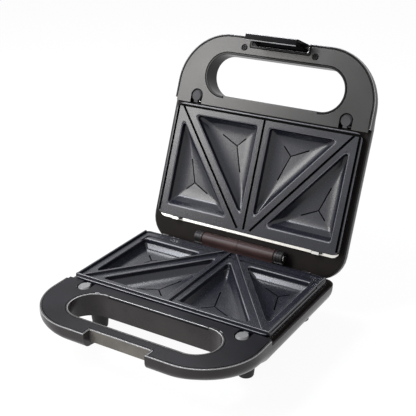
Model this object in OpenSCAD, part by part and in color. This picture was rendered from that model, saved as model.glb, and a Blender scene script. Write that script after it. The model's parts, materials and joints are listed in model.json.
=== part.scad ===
// Two-slice sandwich toaster with a hinged lid and removable cooking plates.
// Each half is drawn in its own half frame: the hinge axis is x, the handle points to -y,
// and z = 0 is the plane where the halves meet, so everything in a half lies at z < 0.
// in_base() and in_lid() put a half in the row frame, the lid standing open.

/* [Housing] */
// Width of both halves
body_w = 231; // [215:1:260]
// Hinge axis to the front edge of the handle
front_reach = 222; // [212:1:250]
// Depth of each half below the parting plane
body_depth = 30; // [29:0.5:42]
// Depth of each half at the front of the handle
handle_depth = 18; // [16:0.5:22]
// Radius of the two front corners, seen from above
front_corner_r = 57.5; // [45:0.5:65]
// Radius of the lid's rear corners
lid_rear_r = 28; // [10:1:32]
// Radius of the base's rear corners
base_rear_r = 12; // [6:1:16]
// Lid's rear wall, behind the hinge axis
lid_overhang = 12.8; // [11:0.1:16]
// Base's rear wall, in front of the hinge axis
base_setback = 6; // [6:0.1:8]
// Radius along the bottom side edges
edge_r = 20; // [8:1:22]
// Radius along the bottom rear edge
rear_edge_r = 3.5; // [3:0.5:7]
// Wall thickness of the housings
wall = 2.2; // [1.6:0.1:3]
// Side walls' rim, below the parting plane
rim_drop = 7; // [6.5:0.1:9]

/* [Handle] */
// Length of the grip opening
grip_len = 161; // [140:1:166]
// Width of the grip opening, front to back
grip_w = 45; // [36:1:48]
// Width of the bar in front of the grip opening
grip_bar = 22; // [20:0.5:28]
// Top of the handle panel, below the parting plane
panel_drop = 2; // [1:0.1:3]
// Thickness of the handle panel and of the frame round the plate
panel_t = 2.4; // [1.8:0.1:3]
// Length of the panel's lip over the grip opening
lip_len = 112; // [80:1:116]

/* [Plates] */
// Width of a cooking plate
plate_w = 220; // [200:1:224]
// Depth of a cooking plate, front to back
plate_d = 125.6; // [110:0.2:130]
// Thickness of the cast plate
plate_t = 3; // [2.6:0.1:3.5]
// Hinge axis to the plate's rear edge
plate_setback = 15.2; // [15:0.1:18]
// Radius of the plate's corners
plate_corner_r = 8; // [4:0.5:12]
// Flat land between the sealing line and a pocket
land = 9; // [7:0.5:12]
// Flat land between the plate's rear edge and a pocket
rear_land = 17; // [10:0.5:19]
// Depth of the pockets
pocket_depth = 10; // [7:0.5:11]
// Height of the base plate's sealing ridges
ridge_h = 2.6; // [2:0.1:3]
// Width of a sealing ridge
ridge_w = 2.6; // [2:0.1:3.5]

/* [Hinge] */
// Angle that the lid stands open at
open_angle = 112; // [95:1:115]
// Radius of the hinge barrel
barrel_r = 6; // [5:0.1:6.2]
// Length of the middle barrel
barrel_len = 86; // [60:1:100]
// Length of each end knuckle
knuckle_len = 9.8; // [8:0.1:14]
// Radius of a hinge pin
pin_r = 2; // [1.5:0.1:2.5]

/* [Latch] */
// Width of the notch in both handles
notch_w = 66; // [50:1:70]
// Depth of the notch from the front edge
notch_d = 9.5; // [9:0.1:11]
// Angle that the latch swings inwards to lock
latch_lock = 12; // [9:1:14]
// Radius of the latch's pin
latch_pin_r = 1.5; // [1.2:0.1:2]

/* [Release buttons] */
// Distance of a button from the middle
button_x = 88.5; // [87:0.1:92]
// Radius of a button
button_r = 6.2; // [5:0.1:6.5]
// Travel of a button, and of the catch it pushes
button_travel = 2.6; // [1.5:0.1:2.8]

/* [Feet] */
// Height of the feet
foot_h = 23.5; // [12:0.5:30]
// Radius of a foot at its base
foot_r = 7.5; // [6:0.1:10]
// Distance of the feet from the middle
foot_x = 84; // [60:1:88]

/* [Electrics] */
// Radius of the heating tube
heater_r = 3.25; // [2.5:0.05:3.5]
// Radius of the cord inlet's bore
cord_bore_r = 3.2; // [2.8:0.1:3.4]

/* [Hidden] */
$fn = 48;

clearance = 0.3;      // gap between pieces that only lie beside each other
running = 0.05;       // radial gap of a pin in its bore
eps = 0.01;

half_w = body_w / 2;
front_y = -front_reach;
plate_rear_y = -plate_setback;
plate_front_y = plate_rear_y - plate_d;
panel_rear_y = plate_front_y - 1.6;               // edge of the handle panel beside the plate
grip_y = front_y + grip_bar + grip_w / 2;         // middle of the grip opening
panel_top = -panel_drop;
panel_bottom = panel_top - panel_t;
ring_top = -rim_drop;                             // top of the frame round the plate
ring_bottom = ring_top - panel_t;
guide_z = ring_bottom - 6;                        // bottom of the guides beside a catch
bottom_z = -body_depth;
notch_y = front_y + notch_d;                      // inner face of the notch

// cooking plate
plate_top = -0.7;
seal_inset = 2.8;                                 // sealing line to the plate's edge
seal_x = plate_w / 2 - seal_inset;
seal_y = plate_front_y + seal_inset;
cell_rear_y = plate_rear_y - 1;
diagonal_front_x = seal_x * 0.95;                 // where the diagonal meets the front sealing line
diagonal_slope = (cell_rear_y - seal_y) / (diagonal_front_x - 5.5);
diagonal_apex_y = seal_y + diagonal_front_x * diagonal_slope;
diagonal_outer_y = seal_y - (seal_x - diagonal_front_x) * diagonal_slope;
inner_cell = [[0, seal_y], [diagonal_front_x, seal_y], [0, diagonal_apex_y]];
outer_rear_y = plate_rear_y - rear_land + land;
outer_cell = [[seal_x, diagonal_outer_y], [seal_x, outer_rear_y],
    [diagonal_front_x - (outer_rear_y - seal_y) / diagonal_slope, outer_rear_y]];
mark_w = 1;                                       // groove in a pocket's floor
mark_depth = 0.8;
mark_reach = 0.3;                                 // share of the way to the pocket's corner
groove_gap = 0.6;                                 // room round a ridge in its groove
groove_depth = ridge_h + 2 * plate_top + groove_gap;

hook_x = 85;

// reflector and heater
tray_z = -23.6;
tray_t = 0.8;
flange_top = ring_top + 1;
flange_rear_y = plate_rear_y + 3.2;
tray_x = plate_w / 2 - 6;
tray_front_y = plate_front_y + 7;
tray_rear_y = plate_rear_y - 8.5;
heater_z = plate_top - pocket_depth - plate_t - heater_r - 0.6;
heater_bend_r = 27;
heater_mid_y = (plate_front_y + plate_rear_y) / 2;
heater_leg_x = tray_x - 26;                       // the tube ends, turned down

// release buttons and their catches
button_y = plate_front_y - 10.2;
button_hole_r = button_r + 0.9;
button_top = panel_top + 0.6;
button_cap_t = 4.4;
button_room_z = button_top - button_cap_t - button_travel - clearance;
tongue_w = 5;                                     // the button's tongue towards the plate
stem_r = 2.2;
catch_w = 8;
catch_t = 2.6;
catch_z = -11;                                    // top of the catch bar
catch_nose = 2;                                   // how far the catch reaches through the plate's lug
lug_t = 1.8;
lug_front_y = plate_front_y + lug_t;
wedge_gap = 0.2;
wedge_w = 2.6;                                    // half width of the wedge
slope_y = -4;                                     // foot of the catch's slope, from the button's axis
catch_block = 4;                                  // height of the catch's slope
catch_back_y = button_y - 12;
stem_end = -18;
socket_top = catch_z - catch_t - 1;
socket_floor = stem_end - button_travel - 1;
lug_w = 14;
spring_wire = 0.45;

// hinge
barrel_end = barrel_len / 2;
knuckle_gap = 0.4;
knuckle_end = barrel_end + knuckle_gap + knuckle_len;
pin_in = barrel_end - 14;                         // inner end of a pin, inside the barrel
web = 5;                                          // half width of a knuckle's web

// latch
latch_y = front_y + 4.4;                          // the latch pin's axis
latch_z = -6;
latch_w = notch_w - 6;
latch_t = 2.6;
latch_reach = 3.4;                                // the pin's axis to the lip's end
boss_r = 4;
latch_front_y = latch_y - boss_r;
// The lip's upper face lies under the base's handle, which slopes down, once the latch is swung in.
handle_slope = (body_depth - 4 - handle_depth) / (grip_y + grip_w / 2 - front_y - 9);
latch_swing = (handle_depth - latch_z) * sin(latch_lock) + latch_reach;
latch_lip_z = latch_z + (handle_depth + clearance + handle_slope * latch_swing - latch_z
    + latch_reach * sin(latch_lock)) / cos(latch_lock);
latch_rib_y = latch_y + (notch_y - clearance - latch_y) / cos(latch_lock)
    - (latch_lip_z - latch_z) * tan(latch_lock);   // rear edge of a rib at the lip

// feet
foot_flare = 2.5;                                 // a foot is this much wider where it meets the shell
front_foot_y = plate_front_y + 6;
rear_foot_y = -base_setback - rear_edge_r - foot_r - 1;
hinge_h = body_depth + foot_h;                    // hinge axis above the table

// places of screws
lid_screw_x = notch_w / 2 + 8.6;
lid_screw_y = front_y + 12.4;
base_screw_y = grip_y + 4;
base_screw_x = half_w - 12;
screw_r = 1.6;

// cord inlet, terminal block, leads and pilot lights
cord_x = -60;
gland_r = 4.8;
cord_y = -base_setback - rear_edge_r - wall - gland_r - 1.5;
gland_out = 2;
gland_in = 2.8;
block_w = 30;
block_d = 12;
block_h = 8.5;
block_y = grip_y + grip_w / 2 + wall + 11.5;
lead_r = 1.1;
lens_x = 9;
lens_y = block_y;
lens_r = 4;

// The row's origin is under the middle of the open object's length.
lid_back = -(front_y + 6) * cos(180 - open_angle) + handle_depth * sin(open_angle);
hinge_y = -(front_y + lid_back) / 2;

// ---------- frames ----------
module in_base() translate([0, hinge_y, hinge_h]) children();
module in_lid() translate([0, hinge_y, hinge_h]) rotate([-open_angle, 0, 0]) mirror([0, 0, 1]) children();
module both_sides() for (side = [-1, 1]) scale_x(side) children();
module scale_x(side) mirror([side < 0 ? 1 : 0, 0, 0]) children();

// ---------- outlines ----------
function arc(c, r, from, to, steps) = [for (i = [0:steps]) let (a = from + (to - from) * i / steps)
    [c[0] + r * cos(a), c[1] + r * sin(a)]];

module rounded_rect(x0, x1, y0, y1, r) {
    translate([x0, y0 + r]) square([x1 - x0, y1 - y0 - 2 * r]);
    translate([x0 + r, y0]) square([x1 - x0 - 2 * r, y1 - y0]);
    for (x = [x0 + r, x1 - r], y = [y0 + r, y1 - r]) translate([x, y]) circle(r);
}

// Outline of a half from above, moved inwards by inset.
module plan(rear_y, rear_r, inset) {
    w = half_w - inset;
    y0 = front_y + inset;
    y1 = rear_y - inset;
    r0 = front_corner_r - inset;
    r1 = max(rear_r - inset, 1);
    translate([-w, y0 + r0]) square([2 * w, y1 - y0 - r0 - r1]);
    translate([r0 - w, y0]) square([2 * (w - r0), y1 - y0]);
    translate([r1 - w, y0 + r0]) square([2 * (w - r1), y1 - y0 - r0]);
    for (s = [-1, 1]) {
        translate([s * (w - r0), y0 + r0]) circle(r0);
        translate([s * (w - r1), y1 - r1]) circle(r1);
    }
}

// Side view of a half: a shallow handle that deepens into the body.
module side_profile(rear_y, inset) {
    y0 = front_y + inset;
    y1 = rear_y - inset;
    z0 = -handle_depth + inset;
    z1 = bottom_z + inset;
    lip = 9;
    grip_rear_y = grip_y + grip_w / 2;
    polygon(concat(
        [[y0, 0]],
        arc([y0 + lip, z0 + lip], lip, 180, 265, 4),
        [[grip_rear_y, z1 + 4], [grip_rear_y + 6, z1]],
        arc([y1 - rear_edge_r, z1 + rear_edge_r], rear_edge_r, 270, 360, 5),
        [[y1, 0]]));
}

module front_profile(inset) {
    w = half_w - inset;
    z1 = bottom_z + inset;
    translate([-w, z1 + edge_r]) square([2 * w, -z1 - edge_r]);
    translate([edge_r - w, z1]) square([2 * (w - edge_r), -z1]);
    for (s = [-1, 1]) translate([s * (w - edge_r), z1 + edge_r]) circle(edge_r);
}

module tub(rear_y, rear_r, inset) intersection() {
    translate([0, 0, bottom_z]) linear_extrude(-bottom_z) plan(rear_y, rear_r, inset);
    rotate([90, 0, 90]) translate([0, 0, -half_w]) linear_extrude(2 * half_w) side_profile(rear_y, inset);
    rotate([90, 0, 0]) translate([0, 0, -lid_overhang])
        linear_extrude(front_reach + lid_overhang) front_profile(inset);
}

module grip_outline(grow) {
    r = grip_w / 2 + grow;
    straight = grip_len / 2 - grip_w / 2;
    translate([-straight, grip_y - r]) square([2 * straight, 2 * r]);
    for (s = [-1, 1]) translate([s * straight, grip_y]) circle(r);
}

module grip(grow) translate([0, 0, bottom_z - 1]) linear_extrude(body_depth + 2) grip_outline(grow);

module slab(x, y0, y1, z0, z1) translate([-x, y0, z0]) cube([2 * x, y1 - y0, z1 - z0]);

// ---------- housings ----------
// The latch's notch, right through the front of the handle.
module notch(grow) slab(notch_w / 2 + grow, front_y - 1, notch_y + grow, bottom_z, 1);

module shell_body(rear_y, rear_r) difference() {
    tub(rear_y, rear_r, 0);
    difference() {
        tub(rear_y, rear_r, wall);
        grip(wall);
        notch(wall);
        translate([0, 0, panel_bottom - clearance]) screw_posts();
    }
    // open top: the panel lies inside the walls, and the side walls drop beside the plate
    translate([0, 0, panel_top]) linear_extrude(2 * body_depth) plan(rear_y, rear_r, -1);
    slab(half_w + 1, panel_rear_y - 3, rear_y + 1, ring_top, 1);
    translate([0, 0, panel_bottom - clearance]) linear_extrude(body_depth) difference() {
        plan(rear_y, rear_r, wall);
        grip_outline(wall);
        translate([-notch_w / 2 - wall, front_y - 1]) square([notch_w + 2 * wall, notch_d + wall + 1]);
    }
    grip(0);
    slab(lip_len / 2, grip_y + grip_w / 2 - 1, panel_rear_y, panel_bottom - clearance, 1);
    notch(0);
}

// Posts on the shell's floor that the panel is screwed to; they hang from z = 0.
module screw_posts() both_sides() {
    translate([base_screw_x, base_screw_y, -body_depth]) cylinder(r = 4, h = body_depth);
    translate([lid_screw_x, lid_screw_y, -body_depth]) cylinder(r = 3.4, h = body_depth);
}

// Sockets that guide the buttons' stems.
module stem_sockets() both_sides() translate([button_x, button_y, bottom_z + wall / 2])
    cylinder(r = stem_r + 2, h = socket_top - bottom_z - wall / 2);

module stem_bores() both_sides() translate([button_x, button_y, socket_floor])
    cylinder(r = stem_r + running, h = socket_top - socket_floor + 1);

module base_shell() color([0.07, 0.07, 0.075]) difference() {
    union() {
        shell_body(-base_setback, base_rear_r);
        intersection() {
            stem_sockets();
            tub(-base_setback, base_rear_r, wall / 2);
        }
    }
    stem_bores();
    both_sides() {
        translate([base_screw_x, base_screw_y, bottom_z - 1]) cylinder(r = screw_r, h = body_depth);
        translate([base_screw_x, base_screw_y, bottom_z - 1]) cylinder(r = 2.9, h = body_depth - 17);
        for (y = [front_foot_y, rear_foot_y])
            translate([foot_x, y, bottom_z - 1]) cylinder(r = screw_r, h = wall + 2);
    }
    translate([cord_x, cord_y, bottom_z - 1]) cylinder(r = gland_r + running, h = wall + 2);
}

module lid_shell() color([0.07, 0.07, 0.075]) difference() {
    union() {
        shell_body(lid_overhang, lid_rear_r);
        intersection() {
            stem_sockets();
            tub(lid_overhang, lid_rear_r, wall / 2);
        }
    }
    stem_bores();
    both_sides() {
        translate([lid_screw_x, lid_screw_y, panel_top - 12]) cylinder(r = screw_r, h = 12);
        translate([notch_w / 2 - 1, latch_y, latch_z]) rotate([0, 90, 0])
            cylinder(r = latch_pin_r + 0.02, h = wall + 2);
        translate([lens_x, lens_y, bottom_z - 1]) cylinder(r = lens_r, h = wall + 2);
    }
}

// ---------- handle panel and frame round the plate ----------
module frame_body(rear_y, rear_r) {
    difference() {
        union() {
            // handle panel, inside the shell's rim
            difference() {
                translate([0, 0, panel_bottom]) linear_extrude(panel_t)
                    intersection() {
                        plan(rear_y, rear_r, wall + clearance);
                        translate([-half_w, front_y]) square([body_w, panel_rear_y - front_y]);
                    }
                grip(wall + clearance);
                notch(wall + clearance);
            }
            // lip that closes the top of the grip opening's rear wall
            slab(lip_len / 2 - clearance, grip_y + grip_w / 2, panel_rear_y, panel_bottom, panel_top);
            // step from the panel down to the frame
            slab(half_w - wall - clearance, panel_rear_y - panel_t, panel_rear_y,
                ring_bottom, panel_top - eps);
            // frame under the plate's edge
            translate([0, 0, ring_bottom]) linear_extrude(panel_t) difference() {
                intersection() {
                    plan(rear_y, rear_r, wall + clearance);
                    translate([-half_w, panel_rear_y - panel_t])
                        square([body_w, rear_y - panel_rear_y + panel_t]);
                }
                translate([-tray_x - 1, tray_front_y - 1])
                    square([2 * tray_x + 2, tray_rear_y - tray_front_y + 2]);
            }
            // guides each side of a catch
            both_sides() for (s = [-1, 1])
                translate([button_x + s * (catch_w / 2 + clearance + 0.8) - 0.8, catch_back_y - 8, guide_z])
                    cube([1.6, panel_rear_y - panel_t - catch_back_y + 8, panel_bottom - guide_z + eps]);
            // stop behind each catch spring
            both_sides() translate([button_x - catch_w / 2 - 1.9, catch_back_y - 9.6, guide_z])
                cube([catch_w + 3.8, 1.6, panel_bottom - guide_z + eps]);
        }
        both_sides() {
            // button hole, open towards the plate, and room below it for the button's travel
            translate([button_x, button_y, button_room_z]) cylinder(r = button_hole_r, h = -button_room_z);
            translate([button_x - button_hole_r, button_y, button_room_z])
                cube([2 * button_hole_r, panel_rear_y - button_y + 1, -button_room_z]);
            // way for the plate's lug
            translate([button_x - lug_w / 2 - clearance, panel_rear_y - 0.1, ring_bottom - 1])
                cube([lug_w + 2 * clearance, 5, panel_t + 2]);
        }
    }
}

module base_frame() color([0.09, 0.09, 0.1]) difference() {
    frame_body(-base_setback, base_rear_r);
    both_sides() translate([base_screw_x, base_screw_y, panel_bottom - 1])
        cylinder(r = screw_r - 0.2, h = panel_t - 0.4);
}

module lid_frame() color([0.09, 0.09, 0.1]) difference() {
    frame_body(lid_overhang, lid_rear_r);
    both_sides() {
        translate([lid_screw_x, lid_screw_y, panel_bottom - 1]) cylinder(r = screw_r, h = panel_t + 2);
        translate([lid_screw_x, lid_screw_y, panel_top - 1.2]) cylinder(r = 3.2, h = 2);
    }
}

// ---------- cooking plates ----------
function side_len(a, b) = norm(a - b);
function incentre(t) = let (a = side_len(t[1], t[2]), b = side_len(t[0], t[2]), c = side_len(t[0], t[1]))
    (a * t[0] + b * t[1] + c * t[2]) / (a + b + c);
function in_radius(t) =
    let (a = side_len(t[1], t[2]), b = side_len(t[0], t[2]), c = side_len(t[0], t[1]), s = (a + b + c) / 2)
    sqrt((s - a) * (s - b) * (s - c) / s);
// A triangle moved inwards by d keeps its incentre.
function inset_triangle(t, d) = let (c = incentre(t), k = 1 - d / in_radius(t))
    [for (p = t) c + (p - c) * k];

pocket_layers = [[0, 0], [0.53, 0.5], [0.95, 4.8], [1, 13]];   // share of the depth, inset
pocket_corner_r = 4;

function direction(v) = atan2(v[1], v[0]);
// Counter-clockwise triangle with rounded corners.
function rounded_triangle(t, r) = let (q = inset_triangle(t, r)) [for (i = [0:2])
    let (a = direction(t[i] - t[(i + 2) % 3]) - 90, b = direction(t[(i + 1) % 3] - t[i]) - 90)
    each arc(q[i], r, a, b < a ? b + 360 : b, 3)];

// Solid through a list of rings, lowest first, all with the same number of points.
module loft(rings) {
    n = len(rings[0]);
    top = (len(rings) - 1) * n;
    walls = [for (i = [0:len(rings) - 2], j = [0:n - 1])
        [i * n + j, (i + 1) * n + j, (i + 1) * n + (j + 1) % n, i * n + (j + 1) % n]];
    polyhedron([for (ring = rings) each ring],
        concat([[for (j = [0:n - 1]) j]], walls, [[for (j = [n - 1:-1:0]) top + j]]));
}

// The pocket's hollow. grow makes the outside of its wall.
module pocket(cell, grow) {
    c = incentre(cell);
    outline = rounded_triangle(inset_triangle(cell, land - grow), pocket_corner_r + grow);
    function ring(layer, z) = let (k = 1 - layer[1] / (in_radius(cell) - land + grow))
        [for (p = outline) [each c + (p - c) * k, z]];
    layers = [for (i = [len(pocket_layers) - 1:-1:0]) pocket_layers[i]];
    loft(concat(
        [for (layer = layers) ring(layer, plate_top - layer[0] * pocket_depth - (layer[0] > 0 ? grow : 0))],
        [ring([0, 0], plate_top + 2)]));
}

// Y-shaped groove in a pocket's floor, each arm pointing at a corner.
module floor_mark(cell) {
    c = incentre(cell);
    arms = [for (p = inset_triangle(cell, land)) p - c];
    // where the sides of two neighbouring arms meet
    function fork(u, v) = let (m = u / norm(u) + v / norm(v), k = norm(m) / 2)
        m / norm(m) * mark_w / 2 / sqrt(1 - k * k);
    function tip(v, side) = mark_reach * v + side * mark_w / 2 * [-v[1], v[0]] / norm(v);
    translate([c[0], c[1], plate_top - pocket_depth - mark_depth]) linear_extrude(mark_depth + 1)
        polygon([for (i = [0:2])
            each [tip(arms[i], -1), tip(arms[i], 1), fork(arms[i], arms[(i + 1) % 3])]]);
}

// Bar from a to b, its underside at z.
module seal_bar(a, b, width, z, height) {
    v = b - a;
    translate([a[0], a[1], z]) rotate(direction(v)) translate([0, -width / 2, 0])
        cube([norm(v), width, height]);
}

module seal_lines(width, z, height) {
    rear = plate_rear_y - 4;
    seal_bar([-seal_x - width / 2, seal_y], [seal_x + width / 2, seal_y], width, z, height);
    seal_bar([0, seal_y], [0, rear], width, z, height);
    for (s = [-1, 1]) {
        seal_bar([s * seal_x, seal_y], [s * seal_x, rear], width, z, height);
        seal_bar([s * diagonal_front_x, seal_y],
            [s * (diagonal_front_x - (rear - seal_y) / diagonal_slope), rear], width, z, height);
    }
}

module plate_blank() {
    translate([0, 0, plate_top - plate_t]) linear_extrude(plate_t)
        rounded_rect(-plate_w / 2, plate_w / 2, plate_front_y, plate_rear_y, plate_corner_r);
    for (s = [-1, 1], cell = [inner_cell, outer_cell]) scale_x(s) intersection() {
        pocket(cell, plate_t * 0.85);
        slab(plate_w / 2, plate_front_y, plate_rear_y, bottom_z, plate_top);
    }
    both_sides() {
        // lug that the catch holds
        translate([button_x - lug_w / 2, plate_front_y + 0.2, catch_z - catch_t - 2])
            cube([lug_w, lug_t - 0.2, plate_top - catch_z + catch_t + 1]);
        // tab under the rear hook
        translate([hook_x - 5, plate_rear_y - 2, plate_top - plate_t]) cube([10, 4.2, 1.4]);
    }
}

module plate_cuts() {
    for (s = [-1, 1], cell = [inner_cell, outer_cell]) scale_x(s) {
        pocket(cell, 0);
        floor_mark(cell);
    }
    both_sides()
        translate([button_x - catch_w / 2 - clearance, plate_front_y - 1, catch_z - catch_t - clearance])
            cube([catch_w + 2 * clearance, lug_t + 2, catch_t + 2 * clearance]);
}

module base_plate() color([0.13, 0.13, 0.15]) union() {
    difference() {
        plate_blank();
        plate_cuts();
    }
    seal_lines(ridge_w, plate_top - eps, ridge_h);
}

module lid_plate() color([0.13, 0.13, 0.15]) difference() {
    plate_blank();
    plate_cuts();
    seal_lines(ridge_w + 2 * groove_gap, plate_top - groove_depth, groove_depth + 1);
}

// ---------- under the plate ----------
module plate_hooks() color("silver") both_sides() translate([hook_x - 4, plate_rear_y, 0]) {
    translate([0, 2.5, flange_top]) cube([8, 0.8, -flange_top - 1]);
    translate([0, 0.4, -1.8]) cube([8, 2.9, 0.8]);
}

module reflector() color([0.8, 0.8, 0.82]) difference() {
    union() {
        translate([0, 0, flange_top - tray_t]) linear_extrude(tray_t)
            rounded_rect(1 - plate_w / 2, plate_w / 2 - 1, plate_front_y + 2.4, flange_rear_y,
                plate_corner_r);
        translate([0, 0, tray_z]) linear_extrude(flange_top - tray_z)
            rounded_rect(-tray_x, tray_x, tray_front_y, tray_rear_y, 10);
    }
    translate([0, 0, tray_z + tray_t]) linear_extrude(-tray_z)
        rounded_rect(tray_t - tray_x, tray_x - tray_t, tray_front_y + tray_t, tray_rear_y - tray_t,
            10 - tray_t);
    for (s = [-1, 1]) translate([heater_leg_x, heater_mid_y + s * heater_bend_r, tray_z - 1])
        cylinder(r = heater_r + 1, h = 4);
}

// U-shaped tube, its ends turned down through the reflector.
module heater() color([0.25, 0.25, 0.26]) {
    left = -tray_x + 12 + heater_bend_r;
    turn = 6;
    translate([left, heater_mid_y, heater_z]) rotate(90) rotate_extrude(angle = 180)
        translate([heater_bend_r, 0]) circle(heater_r);
    for (s = [-1, 1]) translate([0, heater_mid_y + s * heater_bend_r, heater_z]) {
        translate([left - eps, 0, 0]) rotate([0, 90, 0])
            cylinder(r = heater_r, h = heater_leg_x - turn - left + 2 * eps);
        translate([heater_leg_x - turn, 0, -turn]) rotate([90, 0, 0]) rotate_extrude(angle = 90)
            translate([turn, 0]) circle(heater_r);
        translate([heater_leg_x, 0, tray_z - 2.4 - heater_z])
            cylinder(r = heater_r, h = heater_z - tray_z + 2.4 - turn + eps);
    }
}

// Straps that hold the tube to the reflector's floor.
module heater_clips() color([0.7, 0.7, 0.7]) for (x = [-40, 40], s = [-1, 1])
    translate([x, heater_mid_y + s * heater_bend_r, 0]) difference() {
        z = tray_z + tray_t;
        translate([-4, -heater_r - 1.2, z]) cube([8, 2 * heater_r + 2.4, heater_z + heater_r + 0.4 - z]);
        translate([-5, 0, heater_z]) rotate([0, 90, 0]) cylinder(r = heater_r + running, h = 10);
        translate([-5, -heater_r, z + 0.8]) cube([10, 2 * heater_r, heater_z - z - 0.8]);
    }

// ---------- release buttons ----------
// Side view extruded across the middle: the points are [y, z].
module across(half_width, points) rotate([90, 0, 90]) translate([0, 0, -half_width])
    linear_extrude(2 * half_width) polygon(points);

// The wedge under the cap slides the catch back, and keeps the button in the panel.
module button() color([0.3, 0.3, 0.31]) {
    low = catch_z + button_travel + clearance;
    high = panel_bottom - wedge_gap;
    tip = slope_y - (high - 2 - catch_z) + wedge_gap * sqrt(2);
    translate([0, 0, button_top - button_cap_t]) cylinder(r = button_r, h = button_cap_t);
    translate([-tongue_w / 2, 0, button_top - button_cap_t])
        cube([tongue_w, panel_rear_y - button_y - 2 * clearance, button_cap_t - 0.6]);
    translate([0, 0, stem_end]) cylinder(r = stem_r, h = button_top - stem_end - 1);
    across(wedge_w, [[tip, high - 2], [tip + high - 2 - low, low], [0, low], [0, high], [tip, high]]);
}

module catch_bar() color([0.6, 0.6, 0.62]) difference() {
    union() {
        translate([-catch_w / 2, catch_back_y - button_y, catch_z - catch_t])
            cube([catch_w, lug_front_y + catch_nose - catch_back_y, catch_t]);
        across(catch_w / 2, [[catch_back_y - button_y, catch_z - 1],
            [slope_y - catch_block + 1, catch_z - 1], [slope_y, catch_z],
            [slope_y - catch_block, catch_z + catch_block],
            [catch_back_y - button_y, catch_z + catch_block]]);
    }
    // slot round the button's stem
    translate([-stem_r - clearance, -stem_r - clearance - 0.2, catch_z - catch_t - 1])
        cube([2 * stem_r + 2 * clearance, 2 * stem_r + 2 * clearance + button_travel + 0.6, catch_t + 2]);
}

// Round-wire coil along z, from z = 0 to height.
module coil(radius, wire, turns, height) {
    per_turn = 10;
    sides = 6;
    rings = turns * per_turn;
    function point(i, j) = let (a = 360 * i / per_turn, b = 360 * j / sides, r = radius + wire * cos(b))
        [r * cos(a), r * sin(a), wire + (height - 2 * wire) * i / rings + wire * sin(b)];
    points = [for (i = [0:rings], j = [0:sides - 1]) point(i, j)];
    walls = [for (i = [0:rings - 1], j = [0:sides - 1])
        [i * sides + j, i * sides + (j + 1) % sides, (i + 1) * sides + (j + 1) % sides, (i + 1) * sides + j]];
    caps = [[for (j = [sides - 1:-1:0]) j], [for (j = [0:sides - 1]) rings * sides + j]];
    polyhedron(points, concat(walls, caps));
}

module catch_spring() color("silver") translate([0, catch_back_y - button_y - 0.1, catch_z - 0.4])
    rotate([90, 0, 0]) coil(2.2, spring_wire, 5, 7.7);

module at_button(side) translate([side * button_x, button_y, 0]) children();

// ---------- hinge ----------
module hinge_barrel() color([0.1, 0.09, 0.09]) difference() {
    union() {
        rotate([0, 90, 0]) translate([0, 0, -barrel_end]) cylinder(r = barrel_r, h = barrel_len);
        slab(barrel_end, -base_setback + 0.1, 3, ring_top, -1);
        slab(barrel_end, flange_rear_y + clearance, -base_setback + 0.2, ring_top, ring_top + 1.4);
    }
    rotate([0, 90, 0]) translate([0, 0, -barrel_end - 1]) cylinder(r = pin_r + running, h = barrel_len + 2);
    rotate([0, 90, 0]) translate([0, 0, -pin_in + 2]) cylinder(r = 3.4, h = 2 * pin_in - 4);
}

module knuckle() color([0.1, 0.1, 0.1]) difference() {
    union() {
        translate([barrel_end + knuckle_gap, 0, 0]) rotate([0, 90, 0])
            cylinder(r = barrel_r, h = knuckle_len);
        translate([barrel_end + knuckle_gap, -web, ring_top]) cube([knuckle_len, 2 * web, -ring_top - 2]);
    }
    rotate([0, 90, 0]) translate([0, 0, barrel_end]) cylinder(r = pin_r, h = knuckle_len + 2);
    rotate([0, 90, 0]) translate([0, 0, knuckle_end - 2]) cylinder(r = 3.8, h = 3);
}

module hinge_pin() color("silver") {
    rotate([0, 90, 0]) translate([0, 0, pin_in]) cylinder(r = pin_r, h = knuckle_end - 2 - pin_in);
    rotate([0, 90, 0]) translate([0, 0, knuckle_end - 2]) cylinder(r = 3.3, h = 1.8);
}

// ---------- latch ----------
// Stands straight out of the lid; it locks swung inwards, its lip under the base's handle.
module latch() color([0.08, 0.08, 0.08]) difference() {
    union() {
        slab(latch_w / 2, latch_front_y, latch_front_y + latch_t, latch_z - 9, latch_lip_z + latch_t);
        slab(latch_w / 2, latch_front_y, latch_y + latch_reach, latch_lip_z, latch_lip_z + latch_t);
        both_sides() {
            translate([latch_w / 2 - 5, latch_y, latch_z]) rotate([0, 90, 0]) cylinder(r = boss_r, h = 5);
            // rib, tapered so that it stays in front of the notch's inner face
            translate([latch_w / 2, 0, 0]) rotate([90, 0, -90]) linear_extrude(5) polygon([
                [-latch_front_y, latch_z], [-latch_y - latch_reach, latch_z],
                [-latch_rib_y, latch_lip_z], [-latch_front_y, latch_lip_z]]);
        }
    }
    translate([-latch_w, latch_y, latch_z]) rotate([0, 90, 0])
        cylinder(r = latch_pin_r + running, h = 2 * latch_w);
}

module latch_pin() color("silver") translate([-notch_w / 2 - wall + 0.2, latch_y, latch_z])
    rotate([0, 90, 0]) cylinder(r = latch_pin_r, h = notch_w + 2 * wall - 0.4);

// ---------- feet and fasteners ----------
module feet(y) color([0.05, 0.05, 0.05]) both_sides() translate([foot_x, y, bottom_z - foot_h])
    difference() {
        cylinder(r1 = foot_r, r2 = foot_r + foot_flare, h = foot_h);
        translate([0, 0, -1]) cylinder(r = 3.4, h = foot_h - 3);
        cylinder(r = screw_r + 0.1, h = foot_h + 1);
    }

module foot_screws() color("silver") both_sides() for (y = [front_foot_y, rear_foot_y])
    translate([foot_x, y, bottom_z - 4]) {
        cylinder(r = screw_r - 0.05, h = 4 + wall + 3);
        translate([0, 0, -1.8]) cylinder(r = 3, h = 1.8);
    }

module base_screws() color("silver") both_sides() translate([base_screw_x, base_screw_y, 0]) {
    top = panel_bottom - 0.6;
    translate([0, 0, bottom_z + body_depth - 18 - 1.8]) cylinder(r = 2.7, h = 1.8);
    translate([0, 0, bottom_z + body_depth - 18 - eps]) cylinder(r = screw_r - 0.2, h = top + 18 + eps);
}

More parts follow.
